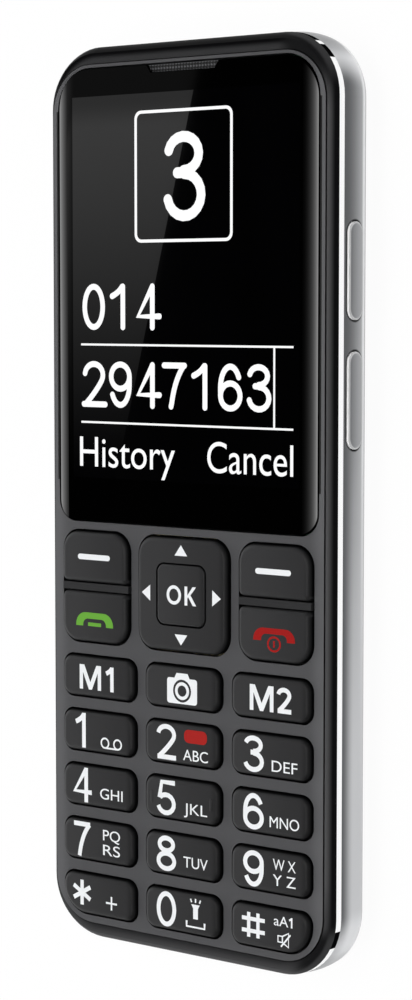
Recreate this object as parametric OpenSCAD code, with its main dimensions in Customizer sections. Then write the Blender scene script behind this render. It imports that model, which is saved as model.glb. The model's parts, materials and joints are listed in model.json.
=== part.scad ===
// Feature phone with a large keypad, in separate pieces.
// It lies on its back: X runs across, Y towards the earpiece, Z out of the face.
// The origin is under the middle of the rear face.

/* [Display window] */
// Width of the window
window_w = 48.5; // [44:0.1:56]
// Length of the window
window_l = 68.2; // [60:0.1:80]
// Corner radius at the earpiece end
window_r_top = 5.9; // [4:0.1:7]
// Corner radius at the keypad end
window_r_low = 3.0; // [2:0.1:5]
// Height of the flat middle above the face plate
window_rise = 0.45; // [0.2:0.05:0.8]
// Width of the curved strip along each long edge
window_curve = 2.65; // [2:0.05:4]
// Gap round the window
window_gap = 0.3; // [0.1:0.01:0.4]

/* [Earpiece] */
// Width of the sound notch at the window's edge
ear_w = 13.5; // [9:0.1:16]
// Height of the sound notch
ear_l = 1.15; // [0.8:0.05:2]
// How far the notch narrows on each side
ear_taper = 0.75; // [0.3:0.05:1]

/* [Face plate] */
// Thickness of the face plate and of the window's edge
face_t = 1.2; // [0.9:0.05:1.6]
// Width of the plate beside the window
face_rim = 1.2; // [0.8:0.05:2]
// Width of the plate above the window
face_rim_top = 0.75; // [0.6:0.05:2]
// Width of the plate below the last key row
face_rim_low = 1.1; // [0.8:0.05:3]
// Groove between the plate and the bezel
face_gap = 0.15; // [0.1:0.05:0.4]
// Corner radius of the face plate
face_r = 7.2; // [6.4:0.1:8]

/* [Number keys] */
// Length of a key opening
key_l = 6.83; // [5:0.01:9]
// Bar of plate between two rows
row_gap = 1.67; // [1.2:0.01:3]
// Bar of plate between two columns
col_gap = 1.55; // [1.2:0.01:3]
// Plate left beside the outer columns
key_margin = 1.63; // [1.3:0.01:3]
// Corner radius of a key opening
key_r = 2.0; // [1.4:0.1:2.6]
// Corner radius of the outer corners in the last row
key_r_outer = 4.6; // [3:0.1:5]
// Gap round every key
key_gap = 0.3; // [0.2:0.05:0.4]
// Height of the key tops above the face plate
key_proud = 0.8; // [0.5:0.05:1.2]
// Rounding of the key tops
key_round = 0.8; // [0.4:0.05:0.9]
// Travel of every face key
key_travel = 0.3; // [0.2:0.05:0.35]

/* [Menu keys] */
// Bar of plate between the window and the menu keys
block_gap = 1.45; // [1:0.05:3]
// Length of the menu key openings
block_l = 17.6; // [15:0.1:22]
// Corner radius of the menu key openings
block_r = 3.2; // [2:0.1:4]
// Sunken strip between a menu key and its call key
strip_l = 1.5; // [1.2:0.05:2.4]
// Depth of that strip below the key tops
strip_sink = 0.35; // [0.2:0.05:0.8]
// Width of the opening for the direction key
nav_w = 17.6; // [15:0.1:19]
// Bar of plate on each side of the direction key
nav_gap = 1.4; // [1.2:0.05:3]
// Width of the OK key
ok_w = 9.1; // [7:0.1:10]
// Corner radius of the OK key
ok_r = 1.3; // [0.9:0.1:2]
// Gap between the OK key and the direction key
ok_gap = 0.2; // [0.18:0.01:0.3]
// Rounding of the OK key's top edge
ok_round = 0.35; // [0.2:0.05:0.6]

/* [Body] */
// Width of the bezel and band beside the face plate
bezel_w = 1.55; // [1.4:0.05:3]
// Width of the bezel above the face plate
bezel_top = 3.0; // [2.4:0.05:5]
// Width of the bezel below the face plate
bezel_low = 2.75; // [2.4:0.05:5]
// Corner radius of the band
corner_r = 9.6; // [9:0.1:11]
// Height of the face plate above the trim
face_rise = 1.65; // [1.4:0.05:2]
// Depth of the bezel below the face plate
bezel_sink = 0.15; // [0.1:0.05:0.4]
// Radius of the bezel's swelling slope
bezel_round = 3.5; // [2:0.1:8]
// Height of the polished trim
trim_h = 1.15; // [0.8:0.05:1.6]
// Slope of the polished trim, measured across
trim_slope = 0.05; // [0.02:0.01:0.3]
// Height of the silver band
band_h = 5.95; // [5.2:0.05:8]
// Bulge of the silver band
band_bulge = 0.25; // [0.1:0.05:0.4]
// Wall of the silver band
band_wall = 1.4; // [1.2:0.05:1.6]
// Radius of the band's rear edge
band_round = 2.0; // [1.6:0.1:3]

/* [Rear] */
// Height of the rear shell
rear_h = 4.7; // [4.4:0.05:6]
// Wall of the rear shell
rear_wall = 1.0; // [0.8:0.05:1.2]
// Step from the band in to the rear shell
rear_step = 0.85; // [0.6:0.05:1.2]
// Length of the fixed rear section round the camera
rear_top_l = 21.7; // [20:0.1:30]
// Gap between the fixed section and the battery cover
cover_gap = 0.15; // [0.1:0.05:0.3]
// Sliding travel of the battery cover
cover_travel = 12; // [10:0.5:13]

/* [Side keys] */
// Length of a volume key
side_l = 14; // [10:0.1:16]
// Width of a volume key
side_w = 3.4; // [2.6:0.1:3.8]
// Gap between the two volume keys
side_space = 4.5; // [3:0.1:8]
// Middle of the pair above the middle of the body
side_y = 25.15; // [24:0.05:30]
// Height of the key tops above the band
side_proud = 0.4; // [0.3:0.05:0.8]
// Width of the bevel round a volume key
side_bevel = 0.55; // [0.3:0.05:0.8]
// Travel of a volume key
side_travel = 0.35; // [0.2:0.05:0.4]

/* [Battery] */
// Width of the battery
battery_w = 34.4; // [30:0.1:36]
// Length of the battery
battery_l = 52; // [40:0.5:54]
// Thickness of the battery
battery_t = 4.4; // [3.6:0.1:4.4]

/* [Socket] */
// Width of the charging socket's shell
usb_w = 7.5; // [6:0.1:9]
// Height of the charging socket's shell
usb_h = 2.6; // [2.4:0.05:2.8]

/* [Hidden] */
$fn = 48;

// Rows of number keys, and the clearance of parts that are assembled and stay put
rows = 5;
fit = 0.1;
tiny = 0.01;

// How far a cut runs past the face that it opens
cut = 1;

// Outline of the face and body
row_pitch = key_l + row_gap;
face_w = window_w + 2 * face_rim;
face_l = face_rim_top + window_l + block_gap + block_l + rows * row_pitch + face_rim_low;
body_w = face_w + 2 * bezel_w;
body_l = face_l + bezel_top + bezel_low;

// Places along the body
face_top = body_l / 2 - bezel_top;
face_mid = face_top - face_l / 2;
window_top = face_top - face_rim_top;
window_low = window_top - window_l;
window_mid = window_top - window_l / 2;
block_top = window_low - block_gap;
block_mid = block_top - block_l / 2;
rows_top = block_top - block_l - row_gap;
rows_low = rows_top - rows * row_pitch + row_gap;

// Key field across the face
field_w = face_w - 2 * key_margin;
key_w = (field_w - 2 * col_gap) / 3;
col_pitch = key_w + col_gap;
outer_r = min(key_r_outer, key_l - key_r - fit);
soft_w = (field_w - nav_w) / 2 - nav_gap;
soft_x = field_w / 2 - soft_w / 2;

// Heights, from the rear face up
trim_z = rear_h + band_h;
bezel_z = trim_z + trim_h;
face_z = bezel_z + face_rise;
seat_z = face_z - face_t;
ledge_t = 0.8;
ledge_z = seat_z - ledge_t;
gasket_t = 0.4;
lcd_t = 2.0;
board_t = 1.0;
lcd_top = seat_z - gasket_t;
board_top = lcd_top - lcd_t;
board_z = board_top - board_t;

// Heights in the keypad
film_t = 0.15;
dome_h = 0.35;
dome_top = board_top + film_t + dome_h;
nub_gap = 0.05;
mat_lift = 0.95;
mat_z = board_top + mat_lift;
mat_t = 0.4;
mat_top = mat_z + mat_t;
key_z = mat_top + key_travel + fit;
flange_t = seat_z - key_z - 2 * fit;
key_top = face_z + key_proud;

// Heights in the rear
flange_z = rear_h;
flange_h = 1.1;
battery_gap = 0.3;
battery_z = rear_wall + battery_gap;
bay_z = battery_z + battery_t + fit;
bay_t = 0.7;
bay_top = bay_z + bay_t;

// Across the band: the corner centre is x = 0 and the outside of the band is x = corner_r
band_in = corner_r - band_wall;
trim_x = corner_r - band_bulge;
rear_x = corner_r - rear_step;
rear_r = (rear_x * rear_x + rear_h * rear_h) / (2 * rear_h);
ledge_w = 1.25;
bezel_land = 0.12;
bezel_lip = 0.1;
inner_w = body_w - 2 * band_wall;
inner_l = body_l - 2 * band_wall;

// Inner parts
boss_d = 2.6;
boss_x = inner_w / 2 - boss_d / 2 - 1.5 * fit;
board_end = 1.7;
board_w = 2 * boss_x - boss_d - 8 * fit;
board_l = inner_l - 2 * board_end;
lcd_edge = 1.55;
lcd_low = 1.45;
lcd_high = 3.05;
lcd_r = 1;
lcd_w = window_w - 2 * lcd_edge;
lcd_l = window_l - lcd_low - lcd_high;
lcd_mid = window_low + lcd_low + lcd_l / 2;
mat_edge = 0.425;
mat_w = min(field_w - 2 * mat_edge, 2 * boss_x - boss_d - 3 * fit);
mat_l = window_low - fit - rows_low + mat_edge;
mat_mid = window_low - fit - mat_l / 2;
mat_skirt = 1.0;
split_y = body_l / 2 - rear_top_l;
bay_wall = 1.2;
contact_l = 3.8;
bay_space = 3.3;
bay_w = battery_w + 2 * battery_gap;
bay_l = battery_l + contact_l + 2 * battery_gap + 2 * fit;
bay_top_y = split_y - bay_space;
bay_mid = bay_top_y - bay_l / 2;
battery_mid = bay_top_y - battery_gap - battery_l / 2;

// Screws and the bosses of the bezel that they hold
screw_d = 1.4;
screw_head_d = 2.4;
screw_head_h = 0.6;
side_mid = [side_y + (side_l + side_space) / 2, side_y - (side_l + side_space) / 2];
side_flange = 0.8;
side_end = side_y + side_space / 2 + side_l + side_flange;
boss_gap = 1;
boss_space = 5;
boss_rows = [
    side_end + boss_d / 2 + boss_gap, 2 * side_y - side_end - boss_d - boss_space, rows_low + 1.5 * row_pitch
];

// Volume keys
side_up = 0.55;
side_z = rear_h + band_h / 2 + side_up;
side_r = 1.6;
side_gap = 0.15;
side_drop = 0.7 * side_proud;
switch_l = 3.2;
switch_h = 2.4;
switch_t = 0.5;

// Pieces in the fixed rear section
camera_y = (body_l / 2 + split_y) / 2;
camera_d = 8.4;
camera_w = 8.5;
camera_gap = 0.3;
camera_seat = 0.9;
camera_neck = 1.5;
torch_x = 8.5;
torch_d = 4.0;
led_w = 2.8;
led_t = 0.6;
speaker_gap = 0.65;
speaker_in = camera_w / 2 + camera_gap + speaker_gap;
speaker_w = body_w / 2 - corner_r - fit - speaker_in;
speaker_x = -speaker_in - speaker_w / 2;
speaker_l = 9.6;
speaker_r = 2;
speaker_y = body_l / 2 - corner_r - speaker_l / 2 - fit;
motor_d = 7.4;
motor_x = body_w / 2 - corner_r - motor_d / 2 - fit;
motor_y = split_y + 1.5 * motor_d / 2;
motor_hub = 0.6;
usb_z = board_z - usb_h;
usb_l = 5.6;
usb_wall = 0.3;
usb_tongue = 0.5;

// Small parts
ledge_end = 0.5;
screw_l = 3.6;
band_mid = rear_h + 0.54 * band_h;
band_turn = 8;
tab_w = 0.5;
ok_z = dome_top + key_travel + fit;
rocker_w = nav_w - 2.6;
nav_pin_d = 0.36;
nav_axis_z = mat_z + mat_t / 2;
nav_leg_t = 0.5;
nav_leg_w = 1.4;
nav_leg_x = rocker_w / 2 + 2 * fit + nav_leg_t / 2;
nav_pin_in = rocker_w / 2 - 2 * nav_pin_d;
mat_open = max(nav_w, block_l) + 2 * key_gap;
nav_pin_out = mat_open / 2 + 2 * nav_pin_d;
nav_reach = 6.2;
nub_d = 2.4;
dome_d = 4.6;
mat_r = 4.5;
board_r = 6;
gasket_w = 1.0;
receiver_w = 12;
receiver_l = 3.4;
ear_y = board_l / 2 - receiver_l / 2 - fit;
ear_gasket_l = 2.6;
ear_wall = 0.6;
mesh_t = 0.2;
lens_t = 0.6;
slot_w = 1.0;
slot_l = 7;
torch_post = 5;
torch_z = 2.9;
mic_x = -10;
mic_h = 1.4;
mic_d = 4;
mic_hole = 1.0;
mic_y = mic_d / 2 + 4 * fit - board_l / 2;
contact_w = 12;
contact_y = bay_top_y - bay_l + contact_l / 2;
sim_w = 26;
sim_l = 17;
card_gap = 2;
card_wall = 0.3;
sim_y = bay_mid - bay_l / 2 - bay_wall - card_gap - sim_l / 2;
card_w = 15;
card_l = 14;
card_h = 1.5;
can_w = 28;
can_l = 24;
can_wall = 0.3;
can_y = bay_top_y - 5 * can_l / 6;
antenna_w = 32;
antenna_l = 2.8;
antenna_t = 1.4;

// Slide rails of the bay and hooks of the cover; at the end of the slide the hooks stand between the rails
hook_pitch = bay_l / 3;
hook_l = hook_pitch - cover_travel - bay_wall / 2;
hook_t = 1.0;
hook_reach = 0.9;
rail_w = 1.9;
rail_t = 0.7;
rail_z = rear_wall + hook_t;
hook_z = rail_z + rail_t + 2 * fit;
hook_x = bay_w / 2 + bay_wall + rail_w + 3 * fit;
hook_rows = [for (i = [-1:1]) bay_mid + hook_pitch * i];
tongue_w = 1.2;
tongue_x = bay_w / 2 + bay_wall + tongue_w / 2 + 3 * fit;
tongue_t = 0.35;
tongue_l = 2;
tongue_top = rail_z - fit;

// Plan shapes

// Rounded rectangle; radii run from the +X +Y corner anticlockwise
module outline(w, l, r) {
    x = w / 2;
    y = l / 2;
    polygon([
        [x - r[0], y], [-x + r[1], y], [-x, y - r[1]], [-x, -y + r[2]],
        [-x + r[2], -y], [x - r[3], -y], [x, -y + r[3]], [x, y - r[0]]
    ]);
    corner = [[x - r[0], y - r[0]], [-x + r[1], y - r[1]], [-x + r[2], -y + r[2]], [x - r[3], -y + r[3]]];
    for (i = [0:3]) translate(corner[i]) rotate(90 * i) intersection() {
        circle(r[i]);
        square(r[i]);
    }
}

function even(r) = [r, r, r, r];

module slab(w, l, r, z0, z1) {
    translate([0, 0, z0]) linear_extrude(z1 - z0) outline(w, l, even(r));
}

module block(w, l, z0, z1) {
    translate([-w / 2, -l / 2, z0]) cube([w, l, z1 - z0]);
}

// Sweep of a section round the body's outline; the section's x runs from the corner centre
module swept(w, l, r) {
    x = w / 2 - r;
    y = l / 2 - r;
    corners = [[x, y], [-x, y], [-x, -y], [x, -y]];
    for (i = [0:3]) {
        translate(corners[i]) rotate(90 * i) rotate_extrude(angle = 90) children();
        run = i % 2 == 0 ? 2 * x : 2 * y;
        translate(corners[i]) rotate(90 * i + 90) rotate([90, 0, 0]) translate([0, 0, -run])
            linear_extrude(run) children();
    }
}

// The same sweep with its middle filled
module swept_solid(w, l, r, z0, z1) {
    swept(w, l, r) children();
    block(w - 2 * r, l - 2 * r, z0, z1);
}

// Key cap with a radius at each corner and a top edge of width e, rounded or, where it has a drop, bevelled;
// core, edges and corners overlap
module pillow(w, l, r, z0, z1, e, drop = 0) {
    x = w / 2;
    y = l / 2;
    h = z1 - z0;
    c = [[x - r[0], y - r[0]], [-x + r[1], y - r[1]], [-x + r[2], -y + r[2]], [x - r[3], -y + r[3]]];
    a = x - e;
    b = y - e;
    m = [for (i = [0:3]) c[i] + (r[i] - e) * [cos(90 * i + 45), sin(90 * i + 45)]];
    translate([0, 0, z0]) {
        linear_extrude(h) polygon([
            [a, c[0][1]], m[0], [c[0][0], b], [c[1][0], b], m[1], [-a, c[1][1]],
            [-a, c[2][1]], m[2], [c[2][0], -b], [c[3][0], -b], m[3], [a, c[3][1]]
        ]);
        for (i = [0:3]) {
            across = i % 2 == 0 ? x : y;
            out = i % 2 == 0 ? y : x;
            near = across - r[i];
            far = across - r[(i + 1) % 4];
            translate(c[i]) rotate(90 * i) rotate_extrude(angle = 90) cap_end(0, r[i], h, e, drop);
            rotate(90 * i + 90) translate([0, far, 0]) rotate([90, 0, 0])
                linear_extrude(near + far) cap_end(out - 1.5 * e, out, h, e, drop);
        }
    }
}

// Section from x0 to x1 with its outer top edge rounded or bevelled
module cap_end(x0, x1, h, e, drop) {
    if (drop > 0) {
        polygon([[x0, 0], [x1, 0], [x1, h - drop], [x1 - e, h], [x0, h]]);
    } else {
        translate([x0, 0]) square([x1 - x0, h - e]);
        if (x1 - e > x0) translate([x0, 0]) square([x1 - e - x0, h]);
        intersection() {
            translate([x1 - e, h - e]) circle(e);
            translate([x1 - e, h - e]) square(e);
        }
    }
}

// Face

module face_plate() {
    color("#4c4c4e") difference() {
        translate([0, face_mid, 0]) slab(face_w, face_l, face_r, seat_z, face_z);
        translate([0, window_mid, seat_z - cut]) linear_extrude(face_t + 2 * cut)
            outline(window_w + 2 * window_gap, window_l + 2 * window_gap, window_radii(window_gap));
        for (row = [0:rows - 1], col = [-1:1])
            translate([col * col_pitch, row_y(row), seat_z - cut]) linear_extrude(face_t + 2 * cut)
                outline(key_w, key_l, key_radii(col, row, 0));
        for (side = [-1, 1])
            translate([side * soft_x, block_mid, 0])
                slab(soft_w, block_l, block_r, seat_z - cut, face_z + cut);
        translate([0, block_mid, 0]) slab(nav_w, block_l, block_r, seat_z - cut, face_z + cut);
    }
}

function window_radii(grow) =
    [window_r_top + grow, window_r_top + grow, window_r_low + grow, window_r_low + grow];

// Middle of a key row, counted from the top
function row_y(row) = rows_top - row * row_pitch - key_l / 2;

// Corner radii of a number key; the last row follows the corners of the plate
function key_radii(col, row, inset) = [
    key_r - inset, key_r - inset,
    (row == rows - 1 && col == -1 ? outer_r : key_r) - inset,
    (row == rows - 1 && col == 1 ? outer_r : key_r) - inset
];

module display_window() {
    bend_r = (window_curve * window_curve + window_rise * window_rise) / (2 * window_rise);
    flat_x = window_w / 2 - window_curve;
    top = face_z + window_rise;
    color("#0b0b0d") difference() {
        intersection() {
            translate([0, window_mid, seat_z]) linear_extrude(face_t + window_rise)
                outline(window_w, window_l, window_radii(0));
            translate([0, window_top, 0]) rotate([90, 0, 0]) linear_extrude(window_l) {
                translate([-flat_x, seat_z]) square([2 * flat_x, top - seat_z]);
                for (side = [0, 1]) mirror([side, 0]) intersection() {
                    translate([flat_x, top - bend_r]) circle(bend_r);
                    translate([flat_x, seat_z]) square([window_curve, top - seat_z]);
                }
            }
        }
        translate([0, window_top, seat_z - cut]) linear_extrude(top - seat_z + 2 * cut) ear_notch(0);
    }
}

// Plan of the sound notch in the window's upper edge
module ear_notch(inset) {
    polygon([
        [-ear_w / 2 + inset, cut], [ear_w / 2 - inset, cut], [ear_w / 2 - inset, 0],
        [ear_w / 2 - ear_taper - inset, -ear_l + inset], [-ear_w / 2 + ear_taper + inset, -ear_l + inset],
        [-ear_w / 2 + inset, 0]
    ]);
}

module earpiece_mesh() {
    color("#1a1a1b") intersection() {
        translate([0, window_top, seat_z]) linear_extrude(face_t + fit) ear_notch(fit);
        translate([0, window_top - ear_l, 0]) block(ear_w, 2 * ear_l, seat_z, face_z + cut);
    }
}

// Swelling slope round the face plate, a ledge that carries plate and window, and screw bosses
module front_bezel() {
    top = face_z - bezel_sink;
    low = bezel_z + bezel_lip;
    out = trim_x - trim_slope;
    edge = corner_r - bezel_w + face_gap;
    land = edge + bezel_land;
    chord = norm([out - land, top - low]);
    set_back = sqrt(bezel_round ^ 2 - chord ^ 2 / 4) / chord;
    slope_x = (land + out) / 2 - set_back * (top - low);
    slope_z = (top + low) / 2 - set_back * (out - land);
    color("#2a2a2c") difference() {
        union() {
            swept_solid(body_w, body_l, corner_r, bezel_z, top) {
                union() {
                    translate([0, bezel_z]) square([land, top - bezel_z]);
                    intersection() {
                        translate([slope_x, slope_z]) circle(bezel_round, $fn = 360);
                        translate([edge, bezel_z]) square([out - edge, top - bezel_z]);
                    }
                }
            }
            slab(inner_w - 2 * fit, inner_l - 2 * fit, band_in - fit, ledge_z, bezel_z);
            for (x = [-boss_x, boss_x], y = boss_rows) translate([x, y, flange_z + flange_h])
                cylinder(d = boss_d, h = ledge_z - flange_z - flange_h);
        }
        translate([0, face_mid, 0])
            slab(face_w + 2 * face_gap, face_l + 2 * face_gap, face_r + face_gap, seat_z, face_z + cut);
        translate([0, face_mid, ledge_z - key_travel])
            slab(face_w - 2 * ledge_w, face_l - 2 * ledge_end, face_r - ledge_w, 0, face_z - ledge_z);
        for (x = [-boss_x, boss_x], y = boss_rows) translate([x, y, flange_z])
            cylinder(d = screw_d + fit, h = screw_l + flange_h);
    }
}

// Body

module trim_ring() {
    color("#e6e6e8") swept(body_w, body_l, corner_r) polygon([
        [band_in, trim_z], [trim_x, trim_z], [trim_x - trim_slope, bezel_z], [band_in, bezel_z]
    ]);
}

// Bulging band whose rear edge rolls in; the two arcs meet on a tangent
module side_frame() {
    rise = trim_z - band_mid;
    r = (rise * rise + band_bulge * band_bulge) / (2 * band_bulge);
    roll_x = corner_r - r + (r - band_round) * cos(band_turn);
    roll_z = band_mid - (r - band_round) * sin(band_turn);
    meet_z = band_mid - r * sin(band_turn);
    color("#b9bbbe") difference() {
        swept(body_w, body_l, corner_r) union() {
            intersection() {
                translate([corner_r - r, band_mid]) circle(r, $fn = 360);
                translate([band_in, meet_z]) square([band_wall, trim_z - meet_z]);
            }
            intersection() {
                translate([roll_x, roll_z]) circle(band_round, $fn = 120);
                translate([band_in, rear_h]) square([band_wall, meet_z - rear_h]);
            }
        }
        for (y = side_mid) translate([inner_w / 2 - cut, y, side_z]) rotate([0, 90, 0])
            linear_extrude(band_wall + 2 * cut)
                outline(side_w + 2 * side_gap, side_l + 2 * side_gap, even(side_r + side_gap));
        translate([0, cut - inner_l / 2, usb_z + usb_h / 2]) rotate([90, 0, 0])
            linear_extrude(band_wall + 2 * cut)
                outline(usb_w + 4 * fit, usb_h + 4 * fit, even(usb_h / 4));
        translate([mic_x, cut - inner_l / 2, board_z - mic_h / 2]) rotate([90, 0, 0])
            cylinder(d = mic_hole, h = band_wall + 2 * cut);
    }
}

// Belly of the rear shell, drawn in by an inset
module rear_form(inset, top) {
    swept_solid(body_w, body_l, corner_r, inset, top) intersection() {
        translate([0, rear_r]) circle(rear_r - inset);
        translate([0, -cut]) square([corner_r, top + cut]);
    }
}

// Side of the part that lies above the split between fixed section and cover
module above_split(gap) {
    translate([0, split_y + gap + body_l / 2, 0]) block(body_w + 2 * cut, body_l, -cut, face_z);
}

// Fixed rear section, mid frame, battery bay and slide rails in one moulding
module rear_housing() {
    color("#2c2c2e") difference() {
        union() {
            intersection() {
                difference() {
                    rear_form(0, rear_h);
                    rear_form(rear_wall, rear_h);
                }
                above_split(0);
            }
            slab(inner_w - 2 * fit, inner_l - 2 * fit, band_in - fit, flange_z, flange_z + flange_h);
            translate([0, bay_mid, 0])
                block(bay_w + 2 * bay_wall, bay_l + 2 * bay_wall, battery_z + battery_gap, bay_top);
            for (side = [-1, 1], y = hook_rows)
                translate([side * (bay_w / 2 + bay_wall + rail_w / 2), y, 0])
                    block(rail_w, hook_l, rail_z, rail_z + rail_t);
            translate([torch_x, camera_y, 0]) block(torch_post, torch_post, torch_z, flange_z);
        }
        translate([0, bay_mid, 0]) block(bay_w, bay_l, 0, bay_z);
        translate([0, contact_y, 0])
            block(contact_w + 4 * fit, contact_l + 4 * fit, bay_z - cut, bay_top + cut);
        translate([0, camera_y, 0]) {
            block(camera_w + 2 * camera_gap, camera_w + 2 * camera_gap, rear_wall + cut, bay_top);
            translate([0, 0, -cut]) cylinder(d = camera_d + 2 * fit, h = lens_t + fit + cut);
            translate([0, 0, -cut]) cylinder(d = camera_d - 2 * camera_seat, h = rear_wall + 2 * cut);
        }
        translate([torch_x, camera_y, -cut]) cylinder(d = torch_d + 2 * fit, h = rear_wall + 2 * cut);
        for (i = [-2:2]) translate([speaker_x + 2 * slot_w * i, speaker_y, 0])
            slab(slot_w, slot_l, slot_w / 2 - tiny, -cut, rear_wall + cut);
        translate([0, -inner_l / 2, 0]) block(usb_w + cut, 2 * (usb_l + cut), 0, bay_top);
        for (x = [-boss_x, boss_x], y = boss_rows) translate([x, y, flange_z - cut]) {
            cylinder(d = screw_head_d + 2 * fit, h = screw_head_h + cut);
            cylinder(d = screw_d + 2 * fit, h = flange_h + 2 * cut);
        }
    }
}

// Tray that slides towards the keypad end; hooks ride over the rails, tongues reach under the fixed section
module battery_cover() {
    color("#2c2c2e") {
        difference() {
            rear_form(0, rear_h - fit);
            rear_form(rear_wall, rear_h + cut);
            above_split(-cover_gap);
        }
        for (side = [0, 1], y = hook_rows) mirror([side, 0, 0]) translate([hook_x, y, 0]) {
            translate([hook_t / 2, 0, 0]) block(hook_t, hook_l, rear_wall + 2 * fit, hook_z + rail_t);
            translate([(hook_t - hook_reach) / 2, 0, 0])
                block(hook_t + hook_reach, hook_l, hook_z, hook_z + rail_t);
        }
        for (side = [-1, 1]) translate([side * tongue_x, split_y, 0]) {
            translate([0, -tongue_l / 2 - cover_gap, 0])
                block(tongue_w, tongue_l, 0.7 * rear_wall, tongue_top);
            translate([0, -cover_gap, 0]) block(tongue_w, 2 * tongue_l, tongue_top - tongue_t, tongue_top);
        }
    }
}

// Keys of the face

// Cap on a narrow bar whose ends reach under the plate
module face_key(w, l, radii, bar_w, bar_l) {
    color("#363637") {
        pillow(w, l, radii, key_z, key_top, key_round);
        block(bar_w, bar_l, key_z, key_z + flange_t);
    }
}

module number_key(col, row) {
    w = key_w - 2 * key_gap;
    l = key_l - 2 * key_gap;
    translate([col * col_pitch, row_y(row), 0])
        face_key(w, l, key_radii(col, row, key_gap), w - 2 * outer_r, l + 2 * tab_w);
}

// Half of a menu key opening: end is 1 for the upper half, -1 for the lower
module menu_key(side, end) {
    w = soft_w - 2 * key_gap;
    l = (block_l - strip_l) / 2 - key_gap;
    far = block_r - key_gap;
    near = key_round + fit;
    radii = end > 0 ? [far, far, near, near] : [near, near, far, far];
    translate([side * soft_x, block_mid + end * (strip_l + l) / 2, 0])
        face_key(w, l, radii, w + 2 * tab_w, l - 2 * far);
}

module key_soft_left() menu_key(-1, 1);
module key_call() menu_key(-1, -1);
module key_soft_right() menu_key(1, 1);
module key_end() menu_key(1, -1);
module key_m1() number_key(-1, 0);
module key_camera() number_key(0, 0);
module key_m2() number_key(1, 0);
module key_1() number_key(-1, 1);
module key_2() number_key(0, 1);
module key_3() number_key(1, 1);
module key_4() number_key(-1, 2);
module key_5() number_key(0, 2);
module key_6() number_key(1, 2);
module key_7() number_key(-1, 3);
module key_8() number_key(0, 3);
module key_9() number_key(1, 3);
module key_star() number_key(-1, 4);
module key_0() number_key(0, 4);
module key_hash() number_key(1, 4);

// Direction key with a square hole for the OK key; its two legs carry pins that turn in the rocker
module nav_ring() {
    w = nav_w - 2 * key_gap;
    l = block_l - 2 * key_gap;
    hole = ok_w + 2 * ok_gap;
    color("#363637") translate([0, block_mid, 0]) {
        difference() {
            pillow(w, l, even(block_r - key_gap), key_z, key_top, key_round);
            slab(hole, hole, ok_r + ok_gap, key_z - cut, key_top + cut);
        }
        for (side = [-1, 1]) {
            translate([side * nav_leg_x, 0, 0]) block(nav_leg_t, nav_leg_w, mat_z, key_z + key_travel);
            nav_pin(90 - 90 * side, nav_leg_x);
        }
    }
}

// Pin that runs inwards from a reach, on the crossing axes of the direction key
module nav_pin(turn, reach) {
    rotate(turn) translate([nav_pin_in, 0, nav_axis_z]) rotate([0, 90, 0])
        cylinder(d = nav_pin_d, h = reach - nav_pin_in);
}

// Slot that a pair of those pins lies in
module nav_slot(turn, from) {
    for (side = [0, 180]) rotate(turn + side) translate([from + nav_pin_out / 2, 0, 0])
        block(nav_pin_out, nav_pin_d + 2 * fit, mat_z - cut, mat_top + cut);
}

module key_ok() {
    flange = ok_w + 2 * key_gap + 2 * fit;
    color("#363637") translate([0, block_mid, 0]) {
        pillow(ok_w, ok_w, even(ok_r), ok_z, key_top + fit, ok_round);
        block(flange, flange, ok_z, ok_z + mat_t - fit);
    }
}

// Frame under the direction key, the inner half of its two-way tilt; its pins turn in the key mat
module nav_rocker() {
    hole = ok_w + 4 * key_gap + 2 * fit;
    color("#d8d8d4") translate([0, block_mid, 0]) difference() {
        union() {
            slab(rocker_w, rocker_w, key_r, mat_z, mat_top - fit / 2);
            for (turn = [90, 270]) nav_pin(turn, nav_pin_out);
        }
        block(hole, hole, mat_z - cut, mat_top + cut);
        nav_slot(0, nav_pin_in - fit);
    }
}

// Volume keys

module volume_key(y) {
    flange_x = inner_w / 2 - side_gap - fit;
    root_x = flange_x - side_flange;
    top_x = body_w / 2 + side_proud;
    color("#b9bbbe") translate([0, y, side_z]) {
        rotate([0, 90, 0]) pillow(side_w, side_l, even(side_r), root_x, top_x, side_bevel, side_drop);
        translate([root_x, -side_l / 2 - side_flange, -side_w / 2])
            cube([side_flange, side_l + 2 * side_flange, side_w]);
    }
}

module volume_up_key() volume_key(side_mid[0]);
module volume_down_key() volume_key(side_mid[1]);

// Keypad

// Places of the keys that press a dome straight down
press_points = concat(
    [for (row = [0:rows - 1], col = [-1:1]) [col * col_pitch, row_y(row)]],
    [for (side = [-1, 1], end = [-1, 1]) [side * soft_x, block_mid + end * (block_l + strip_l) / 4]]
);
nav_points = [for (a = [0:90:270]) [nav_reach * cos(a), block_mid + nav_reach * sin(a)]];

module key_mat() {
    rib_l = strip_l - 4 * fit;
    color("#2e2e30") {
        difference() {
            union() {
                translate([0, mat_mid, 0]) slab(mat_w, mat_l, mat_r, board_top, mat_top);
                for (side = [-1, 1]) translate([side * soft_x, block_mid, 0])
                    block(soft_w - 2 * key_gap, rib_l, mat_z, key_top - strip_sink);
            }
            translate([0, mat_mid, 0])
                slab(mat_w - 2 * mat_skirt, mat_l - 2 * mat_skirt, mat_r - mat_skirt, board_top - cut, mat_z);
            translate([0, block_mid, 0]) {
                block(mat_open, mat_open, mat_z - cut, mat_top + cut);
                nav_slot(90, 2 * fit);
            }
        }
        for (p = press_points) translate([p[0], p[1], dome_top + nub_gap])
            cylinder(d = nub_d, h = mat_z - dome_top - nub_gap);
    }
}

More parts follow.
